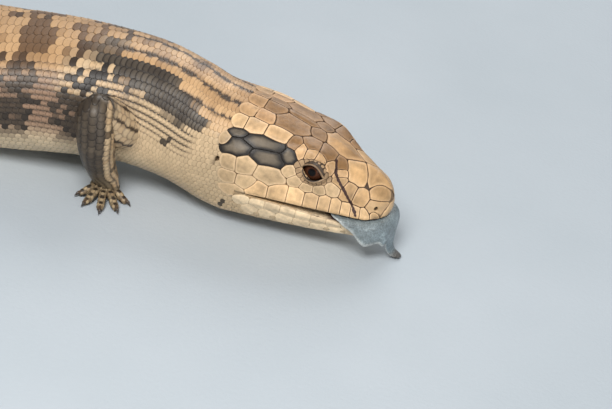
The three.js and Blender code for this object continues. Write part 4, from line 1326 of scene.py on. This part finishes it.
def beyond_shields(at, angle):
    """Which scales lie clear of the head's shields, lips and ears."""
    side = np.degrees(np.minimum(angle, 2 * np.pi - angle))
    chosen = np.where(at < 33, side > 124, True) & ~((at < MOUTH_CORNER_AT) & (side < 118))
    places, _ = drop(on_head_and_body(at, angle))
    ear_ways = np.array([ear_forward / 0.8, ear_up / 1.6, ear_left / 4])
    for i in np.nonzero(chosen & (at < 54))[0]:
        clear_of_ears = all(((ear_ways @ (places[i] - ear)) ** 2).sum() > 1 for ear in ears)
        chosen[i] = clear_of_ears and not (seed_distances(places[i]) < 0.98).any()
    return chosen


def body_zone(start, end, rows, chosen=None):
    """Scales round the body between two distances from the snout."""
    at, angle, row = lattice(start, end, rows, period)
    wide = np.full(len(at), 2 * np.pi / rows)
    if rows == BODY_ROWS:
        place = np.minimum(row + 0.5, rows - row - 0.5)
        angle = np.radians(row_degrees(place)) * np.where(row < rows / 2, 1, -1)
        wide = np.radians(row_degrees(place + 0.5) - row_degrees(place - 0.5))
    angle = (angle - np.radians(twist(at))) % (2 * np.pi)
    if chosen is not None:
        good = chosen(at, angle)
        at, angle, row, wide = at[good], angle[good], row[good], wide[good]
    long = period(at)
    return lay(0, on_head_and_body, at, angle, row, 0.8 * long, 0.62 * wide, 0.1 * long + 0.04)


def in_pieces(name, plates, limit=190000):
    """Gathers plates in as many meshes as keep each below the limit of triangles."""
    most = limit // len(template_faces)
    for number, start in enumerate(range(0, len(plates), most), 1):
        gather(f"{name}_{number}", plates[start:start + most], template_faces)


in_pieces("body_scales", body_zone(7, 226.5, BODY_ROWS, beyond_shields))
tail = []
for zone in TAIL_ZONES:
    tail += body_zone(*zone)
in_pieces("tail_scales", tail)

# %% [markdown]
# ## Scales of the limbs
# Fourteen rows run down each leg and six down each toe, in the same brick pattern. The back of the
# foot has no rows in life but a patch of small rounded scales. A sunflower's spiral spreads those
# evenly over the pad, with no seam.

# %% Leg coat
LEG_ROWS, LEG_PERIOD, TOE_ROWS, TOE_PERIOD = 14, 1.25, 6, 1.05
PALM_SCALES, GOLDEN_ANGLE, ABOVE_PALM = 46, 2.39996, 4.6


def off_trunk(centres):
    """Which scales stand clear of the trunk."""
    return distance_to(centres, trunk_tree) > 0.55


leg_scales = []
for number, (name, leg) in enumerate(legs.items(), 1):
    at, angle, row = lattice(5.0, leg.length - 0.8, LEG_ROWS, lambda s: LEG_PERIOD)
    leg_scales += lay(number, lambda s, a: leg.point(s, a, SKIN_DEPTH), at, angle, row, 1.0,
                      0.62 * 2 * np.pi / LEG_ROWS, 0.16, allowed=0.9, keep=off_trunk)
    palm, aim = np.array(leg_plans[name]["keys"][-1][0]), math.radians(leg_plans[name]["aim"])
    spots = np.arange(PALM_SCALES)
    reach, spin = (PAD_RADIUS - PAD_INSET) * np.sqrt((spots + 0.5) / PALM_SCALES), spots * GOLDEN_ANGLE

    def on_palm(s, a):
        """A point over the back of the foot, ahead and sideways of its middle."""
        ahead, sideways = (np.array([math.cos(aim + q), math.sin(aim + q), 0]) for q in (0, math.pi / 2))
        return np.array([palm[0], palm[1], ABOVE_PALM]) + ahead * s[..., None] + sideways * a[..., None]

    leg_scales += lay(number, on_palm, reach * np.cos(spin), reach * np.sin(spin), spots, 0.85, 0.75, 0.12,
                      thick=0.1, allowed=4.0)
for number, toe in enumerate(toes.values(), FIRST_TOE):
    at, angle, row = lattice(1.6, toe.length - 0.3, TOE_ROWS, lambda s: TOE_PERIOD)
    leg_scales += lay(number, lambda s, a: toe.point(s, a, TOE_DEPTH), at, angle, row, 0.78,
                      0.66 * 2 * np.pi / TOE_ROWS, 0.1, thick=0.1, allowed=0.6)
in_pieces("leg_scales", leg_scales)

# %% [markdown]
# ## The tongue
# The tongue is a broad sheet of soft muscle that rolls out over the lower lip and hangs to a narrow
# tip on the ground. It is steel blue, paler where it is thin and dark at the tip. A cloth simulation
# could drape it, but would end a little differently each time. A loft over keys gives its middle
# line, its width, and how far each side hangs.

# %% Tongue
tongue_keys = [
    # ahead of the snout, above the mouth line, half width lying flat, hang of the right and left edges
    (-15.0, -0.3, 7.0, 0.1, 0.1), (-11.0, -0.6, 10.2, 0.7, 0.5), (-7.5, -0.9, 9.6, 2.6, 1.6),
    (-4.2, -1.0, 8.2, 5.6, 3.6), (-1.6, -0.9, 6.7, 6.9, 5.0), (0.2, -1.2, 5.2, 6.4, 5.2),
    (1.3, -3.0, 4.2, 4.7, 4.0), (1.6, -5.6, 3.0, 2.4, 2.2), (1.8, -8.4, 2.2, 0.9, 0.9),
    (3.2, -10.6, 1.6, 0.3, 0.3), (5.6, -11.1, 1.2, 0.2, 0.2),
]
TONGUE_THICK, TONGUE_RIM, TONGUE_BEND, TONGUE_END = 1.0, 0.4, 1.2, 2.0
places = np.array([in_head(-key[0], 0, key[1]) for key in tongue_keys])
run = np.concatenate([[0], np.cumsum(np.linalg.norm(np.diff(places, axis=0), axis=1))])
total = run[-1]
tongue_rails = [rail(*zip(run, places[:, axis])) for axis in range(3)]
lies_flat, hangs_right, hangs_left = (rail(*zip(run, [key[i] for key in tongue_keys])) for i in (2, 3, 4))


def tongue_ends(t):
    """How full the sheet is, rounding off to its tip."""
    return np.sqrt(1 - np.maximum(0, 1 - (total - t) / TONGUE_END) ** 2) * 0.92 + 0.08


def tongue_sheet(t, across):
    """The middle of the sheet: flat on the lower lip, then hanging over it."""
    flat = lies_flat(t) * tongue_ends(t)
    hang = np.where(across > 0, hangs_left(t), hangs_right(t)) * tongue_ends(t)
    ruffle = 1 + 0.05 * np.sin(t * 1.1 + 1.0) * ease(4, 7, t) * ease(total - 5, total - 8, t)
    reach = np.abs(across) * (flat + hang * ruffle)
    past = np.maximum(0, reach - flat)
    turned = TONGUE_BEND * (1 - np.exp(-past / TONGUE_BEND))
    freely = ease(3, 8, t) * ease(total - 4, total - 8, t)
    wave = 0.3 * np.sin(t + 2) * ease(0.5, 1.0, np.abs(across)) * freely
    centre = np.stack([r(t) for r in tongue_rails], -1)
    out = np.sign(across) * (reach - past + turned + wave)
    return centre + head_left * out[..., None] + head_up * (turned - past)[..., None]


TONGUE_STEPS, TONGUE_SIDES = 150, 104
half_step = math.pi / TONGUE_SIDES
t, turn = np.meshgrid(np.linspace(0, total, TONGUE_STEPS), spokes(TONGUE_SIDES) + half_step, indexing="ij")
across = np.cos(turn)
ahead = tongue_sheet(np.minimum(total, t + 0.2), across) - tongue_sheet(np.maximum(0, t - 0.2), across)
normal = unit(np.cross(ahead, tongue_sheet(t, across + 0.02) - tongue_sheet(t, across - 0.02)))
thick = (TONGUE_THICK + (TONGUE_RIM - TONGUE_THICK) * np.abs(across)) * tongue_ends(t)
bead = 0.12 * ease(0.93, 0.99, np.abs(across)) * ease(5, 9, t)
rings = tongue_sheet(t, across) + normal * (thick * np.sin(turn))[..., None]
rings += head_left * (np.sign(across) * bead)[..., None]
rings[..., 2] = np.maximum(rings[..., 2], 0.03)
tongue = loft("tongue_flesh", rings)
tongue_points = read_points(tongue)
print("tongue", len(tongue_points), "points, thickest", TONGUE_THICK * 2, "mm")

# %% [markdown]
# ## Colour of the tongue
# The loft has joined and renumbered its points, so each one asks the nearest point of the first grid
# how far along and across the sheet it lies. Upper and lower faces get halves of the flat map.

# %% Paint the tongue
TONGUE_BLUE, TONGUE_STEEL = (0.19, 0.225, 0.235), (0.16, 0.215, 0.25)
TONGUE_PALE, TONGUE_DARK = (0.4, 0.42, 0.41), (0.06, 0.048, 0.04)
index = nearest_index(rings.reshape(-1, 3), tongue_points)
t_of, across_of, under = t.ravel()[index], across.ravel()[index], np.sin(turn).ravel()[index] < 0
colour = mix(TONGUE_BLUE, TONGUE_STEEL, ease(8, total - 4, t_of) * 0.6)
colour = mix(colour, TONGUE_PALE, ease(0.9, 0.99, np.abs(across_of)) * 0.75)
colour = mix(colour, TONGUE_DARK, ease(total - 5, total - 1, t_of) * 0.85)
colour = colour * (1 + 0.16 * ripple(tongue_points, 2.5, 21) + 0.1 * ripple(tongue_points, 0.9, 22))[:, None]
tongue_uv = np.stack([0.02 + 0.96 * t_of / total, 0.26 + 0.23 * across_of + 0.49 * under], 1)
paint(tongue, colour, tongue_uv)
print("colours of the tongue from", colour.min().round(3), "to", colour.max().round(3))

# %% [markdown]
# ## The eyes
# The eye is a wet ball, dark reddish brown, with a round black pupil. Its pole looks outward, so that
# rings of points follow pupil and iris and their colours have clean edges. A texture would do the
# same, but the formula needs no file.

# %% Eyeballs
def ball(name, centre, outward, along, radius):
    """A ball whose pole looks outward."""
    over = np.cross(outward, along)
    tilt, spin = np.linspace(0.004, np.pi - 0.004, 56)[:, None, None], spokes(72)[None, :, None]
    aside = along * np.cos(spin) + over * np.sin(spin)
    return loft(name, centre + radius * (outward * np.cos(tilt) + aside * np.sin(tilt)))


PUPIL, IRIS_EDGE, EYE_GAP = 1.05, 2.55, 0.1
IRIS_DARK, IRIS_RED, EYE_BLACK = (0.035, 0.012, 0.006), (0.11, 0.035, 0.013), (0.004, 0.003, 0.003)
EYE_WHITE, EYE_BACK = (0.012, 0.007, 0.005), (0.02, 0.012, 0.01)  # the white is almost black in a skink
eyes = {}
for side, name in ((-1, "eyeball_right"), (1, "eyeball_left")):
    centre, outward, forward_way, over_way = eye_frame(side)
    made = ball(name, centre, outward, forward_way, EYE_RADIUS - EYE_GAP)
    local = read_points(made) - centre
    x, y, depth = local @ forward_way, local @ over_way, local @ outward
    radius = np.hypot(x, y)
    ray = np.sin(np.arctan2(y, x) * 23 + 2 * np.sin(radius * 3)) * 0.5 + 0.5
    iris = mix(IRIS_DARK, IRIS_RED, ray * 0.5 + 0.3 * ease(PUPIL + 0.5, PUPIL, radius))
    colour = mix(iris, EYE_BLACK, ease(PUPIL + 0.08, PUPIL - 0.05, radius))
    colour = mix(colour, EYE_WHITE, ease(IRIS_EDGE - 0.25, IRIS_EDGE, radius))
    colour = np.where(depth[:, None] < 0, EYE_BACK, colour)
    u = 0.25 + 0.22 * x / EYE_RADIUS + 0.5 * (depth < 0)
    paint(made, colour, np.stack([u, 0.5 + 0.45 * y / EYE_RADIUS], 1))
    eyes[name] = made
print("eyes", {name: len(made.data.vertices) for name, made in eyes.items()})

# %% [markdown]
# ## Rims of the lids
# The edge of each lid is a soft rounded cord of skin, pale outside and black where it meets the eye,
# and its upper part is darkened with the painted shadow of the brow.
# It is a thin tube swept round the almond on the ball of the lids. A bevel on the cut edge would
# do as well, but a Boolean's edge is too uneven for it.

# %% Lid rims
RIM_SIDES, RIM_STEPS, RIM_RADIUS, RIM_BALL = 10, 72, 0.27, 4.02
LID_PALE, LID_BLACK, LID_BROW_SHADOW = (0.42, 0.28, 0.16), (0.02, 0.012, 0.008), (0.12, 0.07, 0.04)


def halves(quads):
    """Two triangles for each four-sided face."""
    return np.concatenate([quads[:, [0, 1, 2]], quads[:, [0, 2, 3]]])


rim_batch = []
for side in (-1, 1):
    centre, outward, forward_way, over_way = eye_frame(side)
    flat = almond(RIM_STEPS, 1.02)
    depth = np.sqrt(RIM_BALL**2 - (flat**2).sum(1))
    path = centre + flat[:, :1] * forward_way + flat[:, 1:] * over_way + depth[:, None] * outward
    run_way = unit(np.roll(path, -1, 0) - np.roll(path, 1, 0))
    up_from = unit(path - centre)
    side_from = np.cross(run_way, up_from)
    spin = spokes(RIM_SIDES)
    wave_way, rise_way = np.cos(spin)[None, :, None], np.sin(spin)[None, :, None]
    tube = RIM_RADIUS * (side_from[:, None] * wave_way + up_from[:, None] * rise_way)
    made = path[:, None] + tube
    inward = -(tube @ forward_way) * flat[:, :1] - (tube @ over_way) * flat[:, 1:]
    inner = ease(-0.1, 0.35, inward / np.hypot(*flat.T)[:, None] / RIM_RADIUS)
    colour = mix(LID_PALE, LID_BLACK, inner)
    # painted shadow: the upper part of the rim is darkened where the brow shades it
    upper = np.broadcast_to(ease(-0.3, 1.2, flat[:, 1:]), inner.shape)
    colour = mix(colour, LID_BROW_SHADOW, upper * 0.6)
    spread = np.stack([np.broadcast_to(np.linspace(0.05, 0.95, RIM_STEPS)[:, None], inner.shape),
                       np.broadcast_to(spin[None] / 7, inner.shape)], -1)
    rim_batch.append((made.reshape(-1, 3), colour.reshape(-1, 3), spread.reshape(-1, 2)))
rim_faces = halves(grid_faces(RIM_STEPS + 1, RIM_SIDES)) % (RIM_STEPS * RIM_SIDES)
gather("lid_rims", rim_batch, rim_faces)
face_outward(coat["lid_rims"])

# %% [markdown]
# ## The claws
# Each toe ends in a short claw of dark horn, thick at its root and bent to a point. It is a limb like
# the toes, only smaller, so the same grid makes it, with a fan at each end. All twenty are one mesh.

# %% Claws
CLAW_SIDES, CLAW_STEPS = 10, 12
HORN, HORN_TIP = (0.1, 0.065, 0.04), (0.025, 0.018, 0.014)
claw_batch = []
for limb in claws.values():
    grid = limb_grid(limb, CLAW_STEPS, CLAW_SIDES)
    grid[..., 2] = np.maximum(grid[..., 2], 0.03)
    made = np.concatenate([grid.reshape(-1, 3), grid[0].mean(0)[None], grid[-1].mean(0)[None]])
    reach = np.concatenate([np.repeat(np.linspace(0, 1, CLAW_STEPS), CLAW_SIDES), [0, 1]])
    colour = mix(HORN, HORN_TIP, ease(0.2, 0.9, reach))
    claw_batch.append((made, colour, np.stack([0.05 + 0.9 * reach, np.full(len(made), 0.5)], 1)))
k = np.arange(CLAW_SIDES)
k_next, last_ring, middle = (k + 1) % CLAW_SIDES, (CLAW_STEPS - 1) * CLAW_SIDES, CLAW_STEPS * CLAW_SIDES
caps = [np.stack([np.full(CLAW_SIDES, middle), k_next, k], 1),
        np.stack([np.full(CLAW_SIDES, middle + 1), last_ring + k, last_ring + k_next], 1)]
gather("claws", claw_batch, np.concatenate([halves(grid_faces(CLAW_STEPS, CLAW_SIDES)), *caps]))
claw_piece = coat.pop("claws")
face_outward(claw_piece)

# %% [markdown]
# ## The skin's last colours
# In life the lining of the mouth is dark red, and the sockets and the pits of the ears are painted
# dark brown as the shade that lies in them.
# Points there are found by their distance from the outer surface, the eyes and the ears.

# %% Paint the skin
MOUTH_RED, SOCKET_SHADE, EAR_SHADE = (0.05, 0.018, 0.016), (0.06, 0.04, 0.025), (0.07, 0.045, 0.03)
outer = np.linalg.norm(points - on_head_and_body(skin_at, skin_angle), axis=1)
inner = (outer > 1.6) & (skin_at < MOUTH_CORNER_AT + 2) & (skin_chart == 0)
skin_colour[inner] = MOUTH_RED
# painted shade: the eye sockets and the pits of the ears are coloured dark
for side in (-1, 1):
    skin_colour[np.linalg.norm(points - eye_frame(side)[0], axis=1) < 4.6] = SOCKET_SHADE
    ear = ears[side > 0]
    depth = (ear - points) @ (ear_left * -side)
    skin_colour[(np.linalg.norm(points - ear, axis=1) < 2.4) & (depth > 0.5)] = EAR_SHADE
paint(skin, skin_colour, unwrap(skin_chart, skin_at, skin_angle))
print("points in the mouth:", int(inner.sum()))

# %% [markdown]
# ## A language for materials
# A material in Blender is a graph of nodes, which is slow to read when every node and link is written
# out. Here a `Shader` makes one material. Its `node` method makes any node, and what it returns can
# be added, taken away and multiplied like a number, so a surface reads as a short sum.

# %% Shader language
class Wire:
    """The output of a node, with ordinary arithmetic."""

    def __init__(self, shader, socket):
        self.shader, self.socket = shader, socket

    def __add__(self, other):
        return self.shader.math("ADD", self, other)

    def __sub__(self, other):
        return self.shader.math("SUBTRACT", self, other)

    def __rsub__(self, other):
        return self.shader.math("SUBTRACT", other, self)

    def __mul__(self, other):
        return self.shader.math("MULTIPLY", self, other)

    __radd__, __rmul__ = __add__, __mul__

    def tint(self, amount):
        """This colour made lighter or darker by a factor."""
        return self.shader.scaled(self, amount)


class Shader:
    """A material built with short lines."""

    def __init__(self, name, **fixed):
        self.material = bpy.data.materials.new(name)
        self.material.use_nodes = True
        self.tree = self.material.node_tree
        self.surface = self.tree.nodes["Principled BSDF"]
        for key, value in fixed.items():
            self.surface.inputs[key.replace("_", " ")].default_value = value

    def node(self, kind, output, inputs, **settings):
        """Any node: its type, the output to use, its inputs, and its settings, which are set first."""
        made = self.tree.nodes.new(kind)
        for key, value in settings.items():
            setattr(made, key, value)
        for key, value in inputs.items():
            self.feed(made.inputs[key], value)
        return Wire(self, made.outputs[output])

    def feed(self, socket, value):
        """Links a wire to a socket, or sets the socket's own value."""
        if isinstance(value, Wire):
            self.tree.links.new(value.socket, socket)
        else:
            socket.default_value = value

    def math(self, operation, a, b):
        """Arithmetic on two numbers."""
        return self.node("ShaderNodeMath", 0, {0: a, 1: b}, operation=operation)

    def clamp(self, a):
        """A number held between 0 and 1."""
        return self.math("MAXIMUM", self.math("MINIMUM", a, 1.0), 0.0)

    def vector(self, operation, a, b, output="Vector"):
        """Arithmetic on two vectors."""
        return self.node("ShaderNodeVectorMath", output, {0: a, 1: b}, operation=operation)

    def scaled(self, a, amount):
        """A colour or vector times a number."""
        return self.node("ShaderNodeVectorMath", "Vector", {0: a, "Scale": amount}, operation="SCALE")

    def place(self):
        """Position on the object, in metres."""
        return self.node("ShaderNodeTexCoord", "Object", {})

    def noise(self, size, detail=2.0):
        """Noise from 0 to 1 with features about `size` millimetres across."""
        inputs = {"Vector": self.place(), "Scale": 1 / (size * MM), "Detail": detail}
        return self.node("ShaderNodeTexNoise", 0, inputs)

    def cells(self, size):
        """Rounded cells about `size` millimetres across: 0 at their middles, higher at their edges."""
        inputs = {"Vector": self.place(), "Scale": 1 / (size * MM)}
        return self.node("ShaderNodeTexVoronoi", "Distance", inputs)

    def painted(self):
        """The colours that `paint` gave the mesh."""
        return self.node("ShaderNodeAttribute", "Color", {}, attribute_name="Col")

    def near_path(self, path, wide, soft):
        """1 within `wide` millimetres of a row of straight pieces, falling to 0 over `soft`."""
        nearest = 1.0
        for a, b in zip(path[:-1] * MM, path[1:] * MM):
            offset = self.vector("SUBTRACT", self.place(), tuple(a))
            share = self.vector("DOT_PRODUCT", offset, tuple((b - a) / ((b - a) @ (b - a))), "Value")
            foot = self.scaled(tuple(b - a), self.clamp(share))
            nearest = self.math("MINIMUM", self.vector("DISTANCE", offset, foot, "Value"), nearest)
        return self.clamp((wide * MM - nearest) * (1 / (soft * MM)))

    def blend(self, factor, a, b):
        """Colour a where the factor is 0 and colour b where it is 1."""
        return self.node("ShaderNodeMix", "Result", {"Factor": factor, 6: a, 7: b}, data_type="RGBA")

    def bump(self, height, depth):
        """Relief of `depth` millimetres."""
        inputs = {"Height": height, "Distance": depth * MM}
        return self.node("ShaderNodeBump", "Normal", inputs)

    def finish(self, **inputs):
        """Feeds the surface's own sockets, named with _ for a space."""
        for key, value in inputs.items():
            self.feed(self.surface.inputs[key.replace("_", " ")], value)
        return self.material


def on(made, material):
    """Gives a mesh its one material."""
    made.data.materials.clear()
    made.data.materials.append(material)


print("ready to mix materials")

# %% [markdown]
# ## Materials of the animal
# Scales and shields are horn with a satin gloss, thin clear coat and fine relief. The soft skin
# between is duller and pebbled. The tongue is moist, with rows of buds. The eye is wet and the claws
# are polished horn. All of them start from the painted colours and add fine noise. The stain before
# the eye is a dark streak that crosses many shields, so it is a line in the shields' material, not a
# colour of any one shield.

# %% Scales, shields and skin
STAIN_PATH = [(15.1, 33), (13.9, 58), (11.5, 72), (8.7, 87), (6.7, 98)]  # distance from the snout, degrees
STAIN, STAIN_PIECES = (0.035, 0.01, 0.007, 1), 15
scale_look = Shader("scale", IOR=1.45, Coat_Weight=0.06, Coat_Roughness=0.25)
speckle = scale_look.noise(0.5, 3)
scale_look.finish(
    Base_Color=scale_look.painted().tint(speckle * 0.3 + 0.85),
    Roughness=scale_look.noise(1.4) * 0.2 + 0.36,
    Normal=scale_look.bump(speckle * 0.6 + scale_look.noise(0.16), 0.035),
)
shield_look = Shader("shield", IOR=1.45, Coat_Weight=0.05, Coat_Roughness=0.25)
mottle, grain = shield_look.noise(1.3, 4), shield_look.noise(0.3, 3)
along_path, corners = np.linspace(0, len(STAIN_PATH) - 1, STAIN_PIECES), range(len(STAIN_PATH))
stain_at, stain_side = (np.interp(along_path, corners, column) for column in zip(*STAIN_PATH))
stain = on_body(stain_at, np.radians(stain_side))
stained = shield_look.near_path(stain, shield_look.noise(1.3) * 0.9 - 0.02, 0.14)
horn = shield_look.painted().tint(mottle * 0.5 + grain * 0.3 + 0.6)
shield_look.finish(
    Base_Color=shield_look.blend(stained, horn, STAIN),
    Roughness=shield_look.noise(1.8) * 0.25 + 0.36,
    Normal=shield_look.bump(mottle + grain * 0.5, 0.09),
)
skin_look = Shader("soft_skin", IOR=1.45)
grains = skin_look.cells(0.55)
skin_look.finish(
    Base_Color=skin_look.painted().tint(grains * 0.5 + 0.7),
    Roughness=skin_look.noise(1.0) * 0.2 + 0.45,
    Normal=skin_look.bump(grains, 0.1),
)
print("stain:", len(stain), "points long")

# %% [markdown]
# ## Materials of tongue, eyes and claws
# These are the wet and polished parts. A coat over the surface gives a sharp highlight on top of a
# softer one, as a film of water does. The eye needs the sharpest, and hardly any relief.

# %% Tongue, eyes and claws
tongue_look = Shader("tongue", IOR=1.42, Coat_Weight=0.35, Coat_Roughness=0.18)
buds = tongue_look.cells(0.42)
tongue_look.finish(
    Base_Color=tongue_look.painted().tint(tongue_look.noise(0.9) * 0.4 + buds * 0.75 + 0.45),
    Roughness=tongue_look.noise(0.7) * 0.2 + 0.36,
    Normal=tongue_look.bump(tongue_look.noise(1.6) - buds, 0.16),
)
eye_look = Shader("eye", IOR=1.33, Roughness=0.3, Coat_Weight=0.2, Coat_Roughness=0.02,
                  Specular_IOR_Level=0.1)
eye_look.finish(Base_Color=eye_look.painted().tint(eye_look.noise(0.3) * 0.4 + 0.8),
                Normal=eye_look.bump(eye_look.noise(0.6), 0.006))
claw_look = Shader("claw", IOR=1.5, Coat_Weight=0.2)
claw_look.finish(Base_Color=claw_look.painted().tint(claw_look.noise(0.3) * 0.4 + 0.8),
                 Roughness=claw_look.noise(0.4) * 0.2 + 0.3,
                 Normal=claw_look.bump(claw_look.noise(0.2), 0.02))
on(skin, skin_look.material)
on(tongue, tongue_look.material)
on(claw_piece, claw_look.material)
for made in eyes.values():
    on(made, eye_look.material)
for name, made in coat.items():
    on(made, (shield_look if name in shield_batches else scale_look).material)
print("materials", [m.name for m in bpy.data.materials if m.users])

# %% [markdown]
# ## The ground
# The animal lies on its belly, so it needs a ground to rest on. One large plain sheet, pale and
# blue-grey, keeps the eye on the tan scales and takes a soft shadow.

# %% Ground
FLOOR_CORNERS = [(-1600, -1200, 0), (1600, -1200, 0), (1600, 1900, 0), (-1600, 1900, 0)]
floor = make_object("floor", FLOOR_CORNERS, [(0, 1, 2, 3)], smooth=False)
floor_look = Shader("ground", Specular_IOR_Level=0.2)
grit = floor_look.noise(1.2, 4)
floor_look.finish(
    Base_Color=floor_look.blend(floor_look.noise(60, 3), (0.42, 0.475, 0.52, 1), (0.5, 0.55, 0.6, 1)),
    Roughness=grit * 0.1 + 0.8,
    Normal=floor_look.bump(grit, 0.1),
)
on(floor, floor_look.material)
print("ground", floor.dimensions)

# %% [markdown]
# ## The camera
# The view is from above the animal's right side, with the head to the right of the picture and the
# camera rolled a little. A long lens from half a metre away keeps the head's proportions true.

# %% Camera
camera = bpy.data.objects.new("camera", bpy.data.cameras.new("camera"))
bpy.context.scene.collection.objects.link(camera)
bpy.context.scene.camera = camera
TARGET, DISTANCE, ELEVATION, ROLL = np.array([123, -23.5, 12.0]), 530, math.radians(30), math.radians(12)
back_way = np.array([0, -math.cos(ELEVATION), math.sin(ELEVATION)])
right_way = np.array([1.0, 0, 0])
up_way = np.cross(back_way, right_way)
right_rolled = right_way * math.cos(ROLL) + up_way * math.sin(ROLL)
up_rolled = up_way * math.cos(ROLL) - right_way * math.sin(ROLL)
pose = Matrix(np.stack([right_rolled, up_rolled, back_way], 1).tolist()).to_4x4()
pose.translation = Vector(((TARGET + back_way * DISTANCE) * MM).tolist())
camera.matrix_world = pose
camera.data.lens, camera.data.sensor_width = 123, 36
camera.data.clip_start, camera.data.clip_end = 0.01, 20
print("camera at", np.round(camera.location, 3))

# %% [markdown]
# ## The light
# Glossy scales need broad light, or each would show a hard white dot. A large key lamp stands high in
# front, a weak one low down opens the shadow under the jaw, and one behind draws the edge of the
# back. The world adds an even grey-blue.

# %% Lamps and world
def area_light(name, place, size, power, colour, aim=(100, 0, 10)):
    """A round lamp at a place in millimetres that looks at the head and neck."""
    lamp = bpy.data.lights.new(name, "AREA")
    lamp.shape, lamp.size, lamp.energy, lamp.color = "DISK", size * MM, power, colour
    made = bpy.data.objects.new(name, lamp)
    made.location = Vector(place) * MM
    made.rotation_euler = (Vector(aim) - Vector(place)).to_track_quat("-Z", "Y").to_euler()
    bpy.context.scene.collection.objects.link(made)


area_light("key", (-20, -440, 560), 320, 4.7, (1, 0.97, 0.93))
area_light("fill", (430, -520, 90), 360, 1.3, (1, 0.97, 0.93))
area_light("rim", (180, 520, 420), 420, 2.2, (1, 0.98, 0.95))
world = bpy.data.worlds.new("sky")
world.use_nodes = True
world.node_tree.nodes["Background"].inputs["Color"].default_value = (0.72, 0.76, 0.8, 1)
world.node_tree.nodes["Background"].inputs["Strength"].default_value = 0.34
bpy.context.scene.world = world
bpy.context.scene.view_settings.view_transform = "Standard"

# %% [markdown]
# ## Joining the frame
# The animal is one still body, so every piece rides on it. The skin takes the place of all the flesh,
# and the tongue and eyes take the place of their own solids.

# %% Ride, replace and finish
flesh = [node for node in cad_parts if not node.startswith(("eye", "tongue"))]
everything = [skin, tongue, claw_piece, *eyes.values(), *coat.values()]
for piece in everything:
    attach(piece, "root")
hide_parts(*flesh)
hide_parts("tongue")
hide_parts("eye_right")
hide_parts("eye_left")
print("pieces", len(everything), "triangles", sum(len(triangles_of(piece)) for piece in everything))
